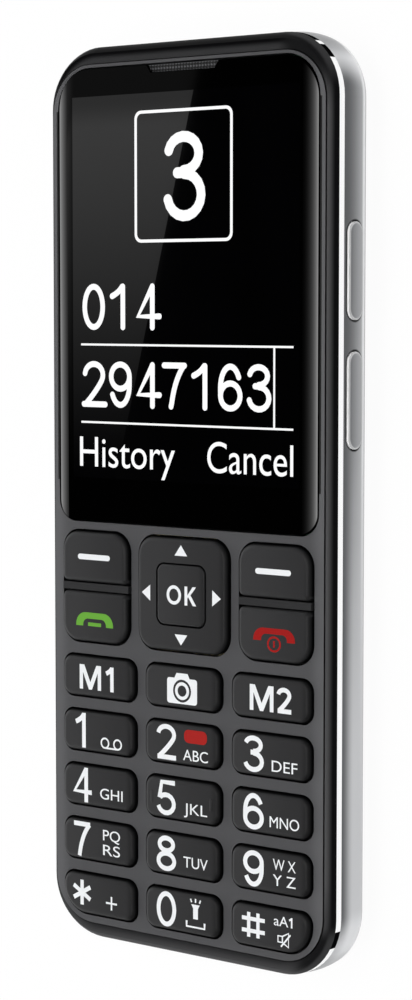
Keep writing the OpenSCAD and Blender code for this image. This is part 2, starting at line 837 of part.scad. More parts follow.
module dome_sheet() {
    edge = mat_skirt + 2 * fit;
    color("#c8b890") {
        translate([0, mat_mid, 0])
            slab(mat_w - 2 * edge, mat_l - 2 * edge, mat_r - edge, board_top, board_top + film_t);
        for (p = concat(press_points, nav_points, [[0, block_mid]]))
            translate([p[0], p[1], board_top + film_t]) cylinder(d1 = dome_d, d2 = dome_d * 0.7, h = dome_h);
    }
}

// Board and what it carries

module main_board() {
    color("#1f5a38") slab(board_w, board_l, board_r, board_z, board_top);
}

module lcd_module() {
    color("#202124") translate([0, lcd_mid, 0]) slab(lcd_w, lcd_l, lcd_r, board_top, lcd_top);
}

module display_gasket() {
    color("#18181a") translate([0, lcd_mid, 0]) difference() {
        slab(lcd_w, lcd_l, lcd_r, lcd_top, seat_z);
        slab(lcd_w - 2 * gasket_w, lcd_l - 2 * gasket_w, lcd_r / 2, lcd_top - cut, seat_z + cut);
    }
}

module earpiece_speaker() {
    color("#8d8f93") translate([0, ear_y, 0])
        slab(receiver_w, receiver_l, receiver_l / 3, board_top, ledge_z - fit);
}

module earpiece_gasket() {
    color("#18181a") translate([0, window_top - 4 * fit - ear_gasket_l / 2, 0]) difference() {
        slab(ear_w, ear_gasket_l, ear_wall, ledge_z - fit, seat_z);
        slab(ear_w - 2 * ear_wall, ear_gasket_l - 2 * ear_wall, ear_wall / 2, ledge_z - cut, seat_z + cut);
    }
}

module loudspeaker() {
    color("#3a3a3c") translate([speaker_x, speaker_y, 0])
        slab(speaker_w, speaker_l, speaker_r, rear_wall + mesh_t, flange_z);
}

module speaker_mesh() {
    color("#151516") translate([speaker_x, speaker_y, 0])
        slab(speaker_w - speaker_r, speaker_l - speaker_r, speaker_r / 2, rear_wall, rear_wall + mesh_t);
}

module microphone() {
    color("#b8b8ba") translate([mic_x, mic_y, board_z - mic_h]) cylinder(d = mic_d, h = mic_h);
}

module vibration_motor() {
    color("#b8b8ba") translate([motor_x, motor_y, rear_wall]) {
        cylinder(d = motor_d, h = flange_z - rear_wall - motor_hub);
        cylinder(d = motor_d / 2, h = flange_z - rear_wall);
    }
}

module camera_module() {
    color("#1c1c1e") translate([0, camera_y, 0]) {
        translate([0, 0, rear_wall + 2 * fit])
            cylinder(d = camera_d - 2 * camera_seat - 6 * fit, h = camera_neck);
        block(camera_w, camera_w, rear_wall + camera_neck - fit, board_z);
    }
}

module camera_lens() {
    color("#101014") translate([0, camera_y, fit]) cylinder(d = camera_d, h = lens_t);
}

module torch_led() {
    color("#f0e6a0") translate([torch_x, camera_y, 0]) {
        block(torch_post, torch_post, torch_z - led_t, torch_z);
        block(led_w, led_w, torch_z - 2 * led_t, torch_z - led_t + fit);
    }
}

module torch_lens() {
    color("#e8eef2") translate([torch_x, camera_y, fit]) cylinder(d = torch_d, h = rear_wall);
}

// Sheet-metal socket with a tongue in its mouth
module usb_socket() {
    mouth = -inner_l / 2 + usb_wall - band_wall / 2;
    color("#c9cacc") translate([0, mouth + usb_l / 2, usb_z]) {
        difference() {
            block(usb_w, usb_l, 0, usb_h);
            translate([0, -cut, 0]) block(usb_w - 2 * usb_wall, usb_l, usb_wall, usb_h - usb_wall);
        }
        translate([0, usb_wall, 0])
            block(0.7 * usb_w, usb_l - 2 * usb_wall, usb_h / 2, usb_h / 2 + usb_tongue);
    }
}

module sim_holder() {
    color("#c9cacc") translate([0, sim_y, 0]) difference() {
        block(sim_w, sim_l, flange_z - card_h, flange_z);
        translate([0, -cut, 0])
            block(sim_w - 4 * card_wall, sim_l, flange_z - card_h + card_wall, flange_z - card_wall);
    }
}

module card_holder() {
    color("#c9cacc") translate([0, sim_y - sim_l / 2 - card_gap - card_l / 2, 0]) difference() {
        block(card_w, card_l, flange_z - card_h, flange_z);
        translate([0, -cut, 0])
            block(card_w - 4 * card_wall, card_l, flange_z - card_h + card_wall, flange_z - card_wall);
    }
}

module battery() {
    color("#3b3f46") translate([0, battery_mid, 0])
        slab(battery_w, battery_l, battery_t / 4, battery_z, battery_z + battery_t);
}

// Block of spring contacts that reaches from the board into the bay
module battery_contacts() {
    color("#d0b060") translate([0, contact_y, 0])
        block(contact_w, contact_l - 4 * fit, battery_z + battery_t / 4, board_z);
}

module shield_can() {
    color("#c0c1c3") translate([0, can_y, 0]) difference() {
        block(can_w, can_l, bay_top + fit, board_z);
        block(can_w - 2 * can_wall, can_l - 2 * can_wall, bay_top + fit + can_wall, board_z + cut);
    }
}

// Board edge beside the volume keys, with two switches
module side_switch_board() {
    x0 = max(board_w, lcd_w) / 2 + fit;
    reach = inner_w / 2 - side_gap - fit - side_flange - side_travel - fit;
    color("#1f5a38") {
        translate([x0, side_y - side_space / 2 - side_l, flange_z + flange_h])
            cube([switch_t, side_space + 2 * side_l, side_z + side_w / 2 - flange_z - flange_h]);
        for (y = side_mid) translate([x0, y - switch_l / 2, side_z - switch_h / 2])
            cube([reach - x0, switch_l, switch_h]);
    }
}

module antenna() {
    color("#c8a060") translate([0, board_l / 2 - antenna_l / 2 - 2 * fit, 0])
        slab(antenna_w, antenna_l, antenna_l / 4, board_z - antenna_t, board_z);
}

module housing_screws() {
    color("#a8a9ac") for (x = [-boss_x, boss_x], y = boss_rows) translate([x, y, flange_z]) {
        cylinder(d = screw_head_d, h = screw_head_h);
        cylinder(d = screw_d, h = screw_l);
    }
}

face_plate();
display_window();
earpiece_mesh();
front_bezel();
trim_ring();
side_frame();
rear_housing();
battery_cover();
key_soft_left();
key_call();
nav_ring();
key_ok();
key_soft_right();
key_end();
key_m1();
key_camera();
key_m2();
key_1();
key_2();
key_3();
key_4();
key_5();
key_6();
key_7();
key_8();
key_9();
key_star();
key_0();
key_hash();
volume_up_key();
volume_down_key();
nav_rocker();
key_mat();
dome_sheet();
main_board();
lcd_module();
display_gasket();
earpiece_speaker();
earpiece_gasket();
loudspeaker();
speaker_mesh();
microphone();
vibration_motor();
camera_module();
camera_lens();
torch_led();
torch_lens();
usb_socket();
sim_holder();
card_holder();
battery();
battery_contacts();
shield_can();
side_switch_board();
antenna();
housing_screws();
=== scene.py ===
"""Looks of a bar phone with large keys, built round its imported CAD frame."""

import json
import math

import bpy
from mathutils import Matrix, Vector


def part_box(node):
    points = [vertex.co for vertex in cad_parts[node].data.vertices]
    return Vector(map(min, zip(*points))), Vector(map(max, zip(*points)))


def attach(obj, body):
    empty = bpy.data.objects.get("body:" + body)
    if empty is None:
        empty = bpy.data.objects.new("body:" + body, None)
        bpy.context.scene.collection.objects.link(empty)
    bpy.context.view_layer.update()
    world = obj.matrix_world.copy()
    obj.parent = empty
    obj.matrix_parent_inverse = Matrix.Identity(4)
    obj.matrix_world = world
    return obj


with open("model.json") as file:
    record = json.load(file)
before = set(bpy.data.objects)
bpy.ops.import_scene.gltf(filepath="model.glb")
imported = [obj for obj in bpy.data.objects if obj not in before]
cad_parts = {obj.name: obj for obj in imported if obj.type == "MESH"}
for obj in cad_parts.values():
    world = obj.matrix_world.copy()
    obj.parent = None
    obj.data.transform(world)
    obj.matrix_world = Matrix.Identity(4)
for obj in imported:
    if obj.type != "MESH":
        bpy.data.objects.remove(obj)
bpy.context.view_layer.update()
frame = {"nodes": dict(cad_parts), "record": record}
NODES = frame["nodes"]
MM = 0.001


# Colours

BLACK, WHITE = (0.0, 0.0, 0.0), (1.0, 1.0, 1.0)


def tone(red, green, blue):
    """A colour read off a screen, 0 to 255, as the linear colour that a shader takes."""
    def linear(level):
        share = level / 255
        return share / 12.92 if share < 0.04045 else ((share + 0.055) / 1.055) ** 2.4
    return (linear(red), linear(green), linear(blue))


def shade(colour, share):
    return tuple(share * level for level in colour)


# Shader tools

class Signal:
    """A shader socket that Python's operators turn into Math nodes."""

    def __init__(self, net, socket):
        self.net = net
        self.socket = socket

    def maths(self, operation, *values):
        sockets = dict(enumerate(values))
        return self.net.node("Math", {"operation": operation}, sockets)

    def __add__(self, other):
        return self.maths("ADD", self, other)

    def __radd__(self, other):
        return self.maths("ADD", other, self)

    def __sub__(self, other):
        return self.maths("SUBTRACT", self, other)

    def __rsub__(self, other):
        return self.maths("SUBTRACT", other, self)

    def __mul__(self, other):
        return self.maths("MULTIPLY", self, other)

    def __rmul__(self, other):
        return self.maths("MULTIPLY", other, self)

    def __truediv__(self, other):
        return self.maths("DIVIDE", self, other)

    def __neg__(self):
        return 0 - self

    def __abs__(self):
        return self.maths("ABSOLUTE", self)

    def above(self, limit):
        return self.maths("GREATER_THAN", self, limit)

    def within(self, low, high):
        return self.above(low) * (1 - self.above(high))

    def most(self, other):
        return self.maths("MAXIMUM", self, other)

    def least(self, other):
        return self.maths("MINIMUM", self, other)

    def power_of_e(self):
        return self.maths("EXPONENT", self)

    def root(self):
        return self.maths("SQRT", self)

    def wave(self, pitch):
        """A wave from -1 to 1 that comes again after each pitch, in metres."""
        return self.maths("SINE", self * (math.tau / pitch))

    def ramp(self, low, high):
        """0 below low, 1 above high and a soft step between them."""
        settings = {"interpolation_type": "SMOOTHSTEP"}
        return self.net.node("MapRange", settings, {0: self, 1: low, 2: high, 3: 0.0, 4: 1.0})

    def stripe(self, rise, fall):
        """1 between two soft steps, up and then down, and 0 outside them."""
        return self.ramp(*rise) - self.ramp(*fall)


class Net:
    """A tree of shader nodes that is added to one node at a time."""

    def __init__(self, tree):
        self.tree = tree

    def plug(self, value, socket):
        if isinstance(value, Signal):
            self.tree.links.new(value.socket, socket)
        elif isinstance(value, tuple) and socket.type == "RGBA":
            socket.default_value = (*value, 1.0)
        else:
            socket.default_value = value

    def node(self, kind, settings=None, sockets=None, out=0):
        """Adds a node: its settings first, then the values or links of its sockets."""
        new = self.tree.nodes.new("ShaderNode" + kind)
        for key, value in (settings or {}).items():
            setattr(new, key, value)
        for key, value in (sockets or {}).items():
            self.plug(value, new.inputs[key])
        return Signal(self, new.outputs[out])

    def split(self, vector):
        return [self.node("SeparateXYZ", None, {0: vector}, out) for out in "XYZ"]

    def place(self):
        return self.node("TexCoord", out="Object")

    def axes(self):
        """How far across, along and high a point lies."""
        return self.split(self.place())

    def facing(self):
        """How far the surface faces sideways, lengthways and upwards."""
        return self.split(self.node("NewGeometry", out="Normal"))

    def noise(self, size, detail=3.0, stretch=(1, 1, 1)):
        """Noise from 0 to 1 whose blots are about one size across, in metres."""
        spread = self.node("Mapping", None, {"Vector": self.place(), "Scale": Vector(stretch)})
        return self.node("TexNoise", None, {"Vector": spread, "Scale": 1 / size, "Detail": detail})

    def blend(self, first, second, share):
        return self.node("Mix", {"data_type": "RGBA"}, {0: share, 6: first, 7: second}, 2)


GRAIN_ROUGH, DRAWN_ROUGH = 0.08, 0.1
SLOW_DRIFT = 0.012


class Finish(Net):
    """A procedural finish: one shader and the nodes that feed it."""

    def __init__(self, name, **constants):
        self.material = bpy.data.materials.new(name)
        self.material.use_nodes = True
        super().__init__(self.material.node_tree)
        self.shader = self.tree.nodes["Principled BSDF"]
        for socket, value in constants.items():
            self.feed(socket.replace("_", " "), value)

    def feed(self, socket, value):
        self.plug(value, self.shader.inputs[socket])

    def bump(self, height, depth):
        normal = self.node("Bump", None, {"Height": height, "Distance": depth}, "Normal")
        self.feed("Normal", normal)

    def mould(self, rough, grain, depth):
        """A moulded grain and a slow drift of gloss; returns the speckle that the colour follows."""
        fine = self.noise(grain)
        slow = self.noise(SLOW_DRIFT, 2.0)
        self.feed("Roughness", slow * GRAIN_ROUGH + (rough - GRAIN_ROUGH) + fine * GRAIN_ROUGH)
        self.bump(fine, depth)
        return fine * 0.4 + slow * 0.6

    def draw(self, rough, grain=0.0003, depth=2e-6, detail=2.0, stretch=(1, 1, 1)):
        """A fine grain as on drawn or pressed metal."""
        drawn = self.noise(grain, detail, stretch)
        self.feed("Roughness", drawn * DRAWN_ROUGH + (rough - DRAWN_ROUGH / 2))
        self.bump(drawn, depth)


def length(x, y):
    return (x * x + y * y).root()


# Finishes, with lengths in metres; the head is the earpiece end and the foot the keypad end

def moulding(name, colour, rough, grain, depth, **constants):
    """Moulded plastic or rubber."""
    finish = Finish(name, **constants)
    speckle = finish.mould(rough, grain, depth)
    finish.feed("Base Color", finish.blend(shade(colour, 0.92), shade(colour, 1.08), speckle))
    return finish


def metal(name, colour, rough, stretch=(1, 1, 1)):
    """Bare metal with faint cloudiness."""
    finish = Finish(name, Metallic=1.0)
    cloud = finish.noise(0.02, 2.0)
    finish.feed("Base Color", finish.blend(shade(colour, 0.94), shade(colour, 1.04), cloud))
    finish.draw(rough, stretch=stretch)
    return finish


PANE_MARGIN, PANE_CORNER = 0.0006, 0.006
# Painted highlight on the plate's rim: where it starts and where it is full
RIM_START, RIM_FULL = 0.003, 0.0005


def plate_finish():
    """Satin plate, with a painted highlight that makes its rim paler, and painted shade that makes its walls
    and a margin beside the display pane dark.
    """
    plate_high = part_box("face_plate")[1]
    pane_low, pane_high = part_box("display_window")
    finish = Finish("face_satin", Specular_IOR_Level=0.25)
    across, along, _ = finish.axes()
    _, _, upright = finish.facing()
    beside = along.within(pane_low.y + PANE_CORNER, pane_high.y - PANE_CORNER)
    # Painted shade: the plate just beside the display pane is coloured near black
    margin_shade = beside * (1 - abs(across).above(pane_high.x + PANE_MARGIN))
    # Painted highlight: the plate is paler towards its rim
    rim_highlight = abs(across).ramp(plate_high.x - RIM_START, plate_high.x - RIM_FULL)
    speckle = finish.mould(rough=0.5, grain=0.00022, depth=0.000006)
    face = finish.blend(tone(68, 68, 70), tone(73, 73, 75), speckle)
    face = finish.blend(face, tone(86, 86, 88), rim_highlight)
    # Painted shade: walls that face sideways, and the margin by the pane, take a near-black colour
    unshaded = upright.ramp(0.2, 0.7) * (1 - margin_shade)
    finish.feed("Base Color", finish.blend(tone(5, 5, 5), face, unshaded))
    return finish


# Keys beside a rib of the key mat, and the end of the key that faces it
RIB_SIDES = {"key_soft_left": -1, "key_soft_right": -1, "key_call": 1, "key_end": 1}
# Painted shade by a key's far edge: where it starts and where it is full
KEY_SHADE_START, KEY_SHADE_FULL = 0.0018, 0.0002


def key_finish(node):
    """Satin key with painted shade: a slow fall-off across its top, darkest by its far edge, and dark
    flanks, but a paler one towards a rib.
    """
    low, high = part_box(node)
    finish = Finish(f"{node}_satin", Specular_IOR_Level=0.14)
    across, _, _ = finish.axes()
    _, lengthways, upright = finish.facing()
    # Painted shade: flanks that face sideways are dark, and lighter on the one towards a rib
    flank_shade = 1 - upright.ramp(0.3, 0.96)
    by_rib = (lengthways * RIB_SIDES.get(node, 0)).ramp(0.1, 0.3)
    painted_edge = across.ramp(high.x - KEY_SHADE_START, high.x - KEY_SHADE_FULL)
    speckle = finish.mould(rough=0.48, grain=0.0003, depth=0.000006)
    top = finish.blend(tone(46, 46, 47), tone(52, 52, 53), speckle)
    # Painted shade: the top darkens slowly across to its far side, and most by that edge
    top = finish.blend(top, tone(37, 37, 38), across.ramp(low.x, high.x))
    top = finish.blend(top, tone(20, 20, 21), painted_edge)
    wall_shade = finish.blend(tone(6, 6, 7), tone(38, 38, 39), by_rib)
    finish.feed("Base Color", finish.blend(top, wall_shade, flank_shade))
    return finish


DISPLAY_X, DISPLAY_LOW, DISPLAY_HIGH = 0.0213, 0.0033, 0.06085
PANE_BEND = (DISPLAY_X - 0.0005, DISPLAY_X + 0.0018)


def window_finish():
    """Black gloss pane; over the display's lit area a second surface doubles the gloss."""
    finish = Finish("window_gloss", Specular_IOR_Level=0.1, Coat_Roughness=0.0)
    across, along, _ = finish.axes()
    lit = across.within(-DISPLAY_X, DISPLAY_X) * along.within(DISPLAY_LOW, DISPLAY_HIGH)
    bent = abs(across).ramp(*PANE_BEND)
    smear = finish.noise(0.009, 4.0, (1, 0.5, 1))
    finish.feed("Base Color", finish.blend(tone(1, 1, 1), tone(3, 3, 4), lit * smear))
    finish.feed("Coat Weight", lit.most(bent * 0.6))
    finish.feed("Roughness", smear * 0.03 + 0.02)
    return finish


ALONG_PHONE = (1, 0.06, 1)
# Stretches along the trim's corners that carry a painted dark reflection
TRIM_REFLECTION_STRETCHES = ((0.06444, 0.06634), (-0.06346, -0.06086))
TRIM_CORNER_X, TRIM_HEAD = 0.0195, 0.0669


def trim_finish():
    """Polished trim, with a painted dark reflection across its upper end and in short stretches at its
    corners.
    """
    finish = Finish("polished_trim", Specular_IOR_Level=0.0)
    across, along, _ = finish.axes()
    # Painted reflection: the corner stretches and the upper end are dark and not metallic
    reflection_stretches = sum(along.within(*ends) for ends in TRIM_REFLECTION_STRETCHES)
    dark_reflection = (reflection_stretches * abs(across).above(TRIM_CORNER_X)).most(along.above(TRIM_HEAD))
    drawn = finish.noise(0.0003, 2.0, ALONG_PHONE)
    polish = finish.blend(tone(246, 246, 247), tone(253, 253, 253), drawn)
    finish.feed("Base Color", finish.blend(polish, tone(8, 8, 9), dark_reflection))
    finish.feed("Metallic", 1 - dark_reflection)
    finish.feed("Roughness", drawn * 0.06 + 0.08 + dark_reflection * 0.3)
    return finish


BEZEL_CORNER = 0.0096
BEZEL_SLOPE = (-0.0009, 0.0001)
BEZEL_DIM_HEAD, BEZEL_DIM_FOOT = (0.056, 0.063), (0.052, 0.061)
BEZEL_HEAD, BEZEL_FOOT = (0.0600, 0.0645), (0.0596, 0.0622)
BROW_EDGE, CHIN_EDGE, CORNER_EDGE = (-0.0021, -0.0012), (-0.0024, -0.0009), (-0.0006, -0.0002)
BROW_END, CHIN_END = (0.0165, 0.0195), (0.0185, 0.0225)


def outline_reach(across, along, high, corner):
    """How far a point lies outside a rounded outline round the origin; below 0 inside it."""
    x = (abs(across) - (high.x - corner)).most(0)
    y = (abs(along) - (high.y - corner)).most(0)
    return length(x, y) - corner


def bezel_finish():
    """Semi-gloss slope with a painted reflection: dark by the trim and paler by the plate; at foot and right
    corners reversed.
    """
    _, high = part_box("front_bezel")
    finish = Finish("bezel_semi_gloss", Specular_IOR_Level=0.02)
    across, along, height = finish.axes()
    reach = outline_reach(across, along, high, BEZEL_CORNER)
    # Painted reflection: the colours below stand in for the light this slope mirrors, pale by the plate and
    # dark by the trim
    dim = along.ramp(*BEZEL_DIM_HEAD).most((-along).ramp(*BEZEL_DIM_FOOT) * 0.7)
    pale_reflection = finish.blend(tone(80, 80, 81), tone(46, 46, 47), dim)
    side = finish.blend(tone(12, 12, 13), pale_reflection, (height - high.z).ramp(*BEZEL_SLOPE))
    brow_reflection = finish.blend(tone(50, 50, 51), tone(6, 6, 7), reach.ramp(*BROW_EDGE))
    chin_reflection = finish.blend(tone(36, 36, 37), tone(64, 64, 65), reach.ramp(*CHIN_EDGE))
    corner = finish.blend(tone(22, 22, 23), tone(54, 54, 55), reach.ramp(*CORNER_EDGE))
    head = finish.blend(brow_reflection, corner, across.ramp(*BROW_END))
    foot = finish.blend(chin_reflection, corner, across.ramp(*CHIN_END))
    end = finish.blend(foot, head, along.above(0))
    share = along.ramp(*BEZEL_HEAD).most((-along).ramp(*BEZEL_FOOT))
    finish.feed("Base Color", finish.blend(side, end, share))
    fine = finish.noise(0.0006)
    finish.feed("Roughness", fine * 0.08 + 0.36)
    finish.bump(fine, 0.000002)
    return finish


LACQUER = {"grain": 0.0004, "depth": 1.5e-6, "detail": 3.0, "stretch": ALONG_PHONE}
VOLUME_KEYS = ("volume_up_key", "volume_down_key")
SIDE_KEY_CAP = 0.0006
# Reach of the painted shadow round a volume key on the band, and of the painted highlight on the key's edge
SEAM_SHADOW_EDGE, HIGHLIGHT_EDGE = (0.00018, 0.00045), (-0.0003, -0.0002)


def pill_reach(along, height, node):
    """How far a point of the side lies outside a pill-shaped key."""
    _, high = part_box(node)
    cap = [point.co for point in NODES[node].data.vertices if point.co.x > high.x - SIDE_KEY_CAP]
    foot, head = min(point.y for point in cap), max(point.y for point in cap)
    rear, front = min(point.z for point in cap), max(point.z for point in cap)
    radius = (front - rear) / 2
    y = (abs(along - (foot + head) / 2) - ((head - foot) / 2 - radius)).most(0)
    z = height - (rear + front) / 2
    return length(y, z) - radius


# Painted shade and painted highlights on the band: where each grows and ends
SHADE_LENGTH = (-0.045, 0.03)
WIDE_START, WIDE_FULL, NARROW_START = 0.0012, 0.0002, 0.0026
BAND_DIM_HEAD, BAND_DIM_FOOT = (0.0605, 0.0655), (0.0585, 0.0635)
PATCH_HEAD, PATCH_FOOT = ((0.060, 0.063), (0.0642, 0.066)), ((0.058, 0.061), (0.0635, 0.066))
TIP_HEAD, TIP_FOOT = (0.0652, 0.0675), (0.0645, 0.0675)
BAND_GLEAM = ((0.0007, 0.0011), (0.0013, 0.0019))
BAND_REAR_SHADE = (0.0003, 0.0009)


def band_finish():
    """Silver lacquer with painted light and shade: darker at its rear edge, at its very ends and towards the
    face, there most by the head; paler in patches near its ends and in a stripe along its rear; painted
    shadow round the volume keys.
    """
    low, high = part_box("side_frame")
    finish = Finish("silver_band", Metallic=0.85)
    across, along, height = finish.axes()
    from_rear = height - low.z
    # Painted shade: darker towards the face, most by the head, and less near the ends
    wide = height.ramp(low.z - WIDE_START, high.z - WIDE_FULL)
    narrow = height.ramp(high.z - NARROW_START, high.z)
    by_head = along.ramp(*SHADE_LENGTH)
    ends = along.ramp(*BAND_DIM_HEAD) * 0.75 + (-along).ramp(*BAND_DIM_FOOT) * 0.7
    shaded = (narrow + (wide - narrow) * by_head) * (1 - ends)
    # Painted highlight: pale patches near the two ends
    highlight_patch = along.stripe(*PATCH_HEAD) + (-along).stripe(*PATCH_FOOT) * 0.5
    # Painted shade: darker at the very ends
    tips = along.ramp(*TIP_HEAD) + (-along).ramp(*TIP_FOOT)
    # Painted shadow: a dark line round each volume key
    seam_shadows = sum(1 - pill_reach(along, height, key).ramp(*SEAM_SHADOW_EDGE) for key in VOLUME_KEYS)
    skin = finish.blend(tone(190, 191, 193), tone(202, 203, 205), finish.noise(0.03, 2.0))
    skin = finish.blend(skin, tone(236, 237, 239), highlight_patch)
    skin = finish.blend(skin, tone(150, 151, 153), tips)
    skin = finish.blend(skin, tone(92, 93, 95), shaded)
    # Painted highlight: a pale stripe along the rear, growing towards the head
    skin = finish.blend(skin, tone(226, 227, 228), from_rear.stripe(*BAND_GLEAM) * by_head)
    # Painted shade: a darker line at the rear edge
    skin = finish.blend(tone(110, 111, 113), skin, from_rear.ramp(*BAND_REAR_SHADE))
    skin = finish.blend(skin, tone(14, 14, 15), across.above(0) * seam_shadows)
    finish.feed("Base Color", skin)
    finish.draw(0.32, **LACQUER)
    return finish


def side_key_finish(node):
    """Silver key with a painted highlight on its edge towards the face, and painted shade growing towards
    the face.
    """
    low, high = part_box(node)
    finish = Finish(f"{node}_silver")
    _, along, height = finish.axes()
    outward, _, upright = finish.facing()
    # Painted highlight: the edge facing the front is white and not metallic
    painted_edge = pill_reach(along, height, node).ramp(*HIGHLIGHT_EDGE)
    edge_highlight = painted_edge * (1 - outward.ramp(0.82, 0.94)) * upright.ramp(-0.3, 0.0)
    # Painted shade: the key's side darkens towards the face
    face = finish.blend(tone(168, 169, 171), tone(122, 123, 125), height.ramp(low.z, high.z))
    finish.feed("Base Color", finish.blend(face, WHITE, edge_highlight))
    finish.feed("Metallic", 0.85 - edge_highlight * 0.85)
    finish.draw(0.3, **LACQUER)
    return finish


WIRE_PITCH = 0.0011


def woven_finish():
    """Woven wire: two crossed rows of rounded wires."""
    finish = Finish("fine_weave", Metallic=0.4, Roughness=0.5, Specular_IOR_Level=0.2)
    across, along, _ = finish.axes()
    weave = (across + along).wave(WIRE_PITCH) * (across - along).wave(WIRE_PITCH) * 0.5 + 0.5
    finish.feed("Base Color", finish.blend(tone(8, 8, 9), tone(84, 84, 86), weave.ramp(0.4, 0.95)))
    finish.bump(weave, 0.00008)
    return finish


TRACK_PITCH, BUS_PITCH = 0.0016, 0.0022


def board_finish():
    """Solder mask with faint copper tracks under it."""
    finish = Finish("board_mask", Coat_Weight=0.3)
    across, along, _ = finish.axes()
    drift = finish.noise(0.004, 2.0)
    track = (across + drift * 0.004).wave(TRACK_PITCH).ramp(0.5, 0.8)
    bus = (along + drift * 0.006).wave(BUS_PITCH).ramp(0.5, 0.8)
    share = track * 0.5 + bus * 0.5
    finish.feed("Base Color", finish.blend(tone(18, 74, 46), tone(46, 118, 72), share))
    finish.feed("Roughness", 0.42 - share * 0.1)
    finish.bump(share, 0.00002)
    return finish


FILM = 0.00017


def dome_finish():
    """Pale film whose raised domes are bare metal."""
    film_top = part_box("main_board")[1].z + FILM
    finish = Finish("dome_film")
    _, _, height = finish.axes()
    dome = height.above(film_top)
    fleck = finish.noise(0.001, 2.0)
    film = finish.blend(tone(196, 182, 140), tone(208, 194, 152), fleck)
    finish.feed("Base Color", finish.blend(film, tone(190, 190, 188), dome))
    finish.feed("Metallic", dome)
    finish.feed("Roughness", 0.5 - dome * 0.2 + fleck * 0.05)
    return finish


def from_middle(finish, node):
    """How far a point lies from the middle of a round piece."""
    low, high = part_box(node)
    centre = (low + high) / 2
    across, along, _ = finish.axes()
    return length(across - centre.x, along - centre.y)


LENS_RING, LENS_PUPIL = ((0.0021, 0.0022), (0.0027, 0.0028)), (0.0010, 0.0013)


def lens_finish():
    """Camera window: black glass with a violet middle and a paler ring round it."""
    finish = Finish("camera_glass", Coat_Weight=1.0, Coat_Roughness=0.01)
    reach = from_middle(finish, "camera_lens")
    ring = reach.stripe(*LENS_RING)
    pupil = 1 - reach.ramp(*LENS_PUPIL)
    iris = finish.blend(tone(14, 14, 18), tone(58, 60, 66), ring)
    finish.feed("Base Color", finish.blend(iris, tone(30, 26, 60), pupil))
    finish.feed("Roughness", 0.06 + ring * 0.25)
    return finish


LENS_RIB = 0.0004


def clear_finish():
    """Torch lens: milky clear plastic with round ribs."""
    finish = Finish("torch_clear", Coat_Weight=0.6, Coat_Roughness=0.05)
    rib = from_middle(finish, "torch_lens").wave(LENS_RIB) * 0.5 + 0.5
    finish.feed("Base Color", finish.blend(tone(206, 208, 196), tone(240, 240, 226), rib))
    finish.feed("Roughness", 0.12 + rib * 0.1)
    finish.bump(rib, 0.00006)
    return finish


BATTERY_CAP = 0.0035


def battery_finish():
    """Dark sleeve over a can, with black caps at its two ends."""
    low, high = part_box("battery")
    finish = Finish("battery_sleeve")
    _, along, _ = finish.axes()
    middle = (low.y + high.y) / 2
    cap = abs(along - middle).above((high.y - low.y) / 2 - BATTERY_CAP)
    crease = finish.noise(0.006, 3.0, (1, 0.3, 1))
    sleeve = finish.blend(tone(48, 52, 60), tone(62, 66, 74), crease)
    finish.feed("Base Color", finish.blend(sleeve, tone(24, 24, 26), cap))
    finish.feed("Roughness", 0.4 + crease * 0.15)
    finish.bump(crease, 0.00004)
    return finish


def print_finish(name, colour):
    """Print on a key: even ink that the key's grain just breaks."""
    finish = Finish(name, Specular_IOR_Level=0.08)
    fine = finish.noise(0.0002)
    finish.feed("Base Color", finish.blend(shade(colour, 0.95), colour, fine))
    finish.feed("Roughness", fine * 0.1 + 0.45)
    return finish


DOT_PITCH = 0.00018


def display_finish():
    """Lit display dots: nearly even white light with the faint grid of the panel."""
    finish = Finish("display_light", Base_Color=(0.02, 0.02, 0.02), Roughness=0.3, Emission_Strength=1.0)
    across, along, _ = finish.axes()
    grid = across.wave(DOT_PITCH) * along.wave(DOT_PITCH) * 0.5 + 0.5
    finish.feed("Emission Color", finish.blend(tone(250, 251, 252), WHITE, grid))
    return finish


def slot_finishes():
    """Each material slot whose pieces share one finish."""
    steel = tone(196, 197, 198)
    return {
        "face_grey": plate_finish(),
        "window_black": window_finish(),
        "fine_mesh": woven_finish(),
        "bezel_black": bezel_finish(),
        "polished_trim": trim_finish(),
        "silver_band": band_finish(),
        "rear_black": moulding("rear_soft_grain", tone(44, 44, 46), 0.62, 0.0005, 0.00003),
        "white_plastic": moulding("white_moulding", tone(218, 218, 212), 0.45, 0.0006, 0.000004),
        "key_rubber": moulding("key_rubber", tone(43, 43, 44), 0.5, 0.0004, 0.00001, Specular_IOR_Level=0.1),
        "dome_film": dome_finish(),
        "board_green": board_finish(),
        "lcd_glass": moulding("panel_back", tone(34, 35, 38), 0.2, 0.002, 0.000002, Coat_Weight=0.5),
        "black_foam": moulding("black_foam", tone(24, 24, 26), 0.92, 0.0003, 0.00006),
        "speaker_metal": metal("pressed_steel", steel, 0.35),
        "speaker_body": moulding("speaker_moulding", tone(42, 42, 44), 0.5, 0.0005, 0.00001),
        "lens_glass": lens_finish(),
        "led_yellow": moulding("led_phosphor", tone(236, 224, 140), 0.5, 0.0004, 0.00001),
        "clear_lens": clear_finish(),
        "socket_steel": metal("sheet_steel", steel, 0.28, (1, 0.2, 1)),
        "battery_wrap": battery_finish(),
        "contact_brass": metal("plated_brass", tone(222, 190, 120), 0.3),
        "screw_steel": metal("zinc_steel", tone(176, 176, 178), 0.4),
    }


FINISHES = slot_finishes()
OWN_FINISHES = {"key_black": key_finish, "silver_key": side_key_finish}
WHITE_PRINT = print_finish("white_print", tone(234, 236, 238))
GREEN_PRINT = print_finish("green_print", tone(102, 164, 58))
RED_PRINT = print_finish("red_print", tone(152, 22, 20))
BADGE_PRINT = print_finish("badge_print", tone(160, 32, 28))
DISPLAY_LIGHT = display_finish()

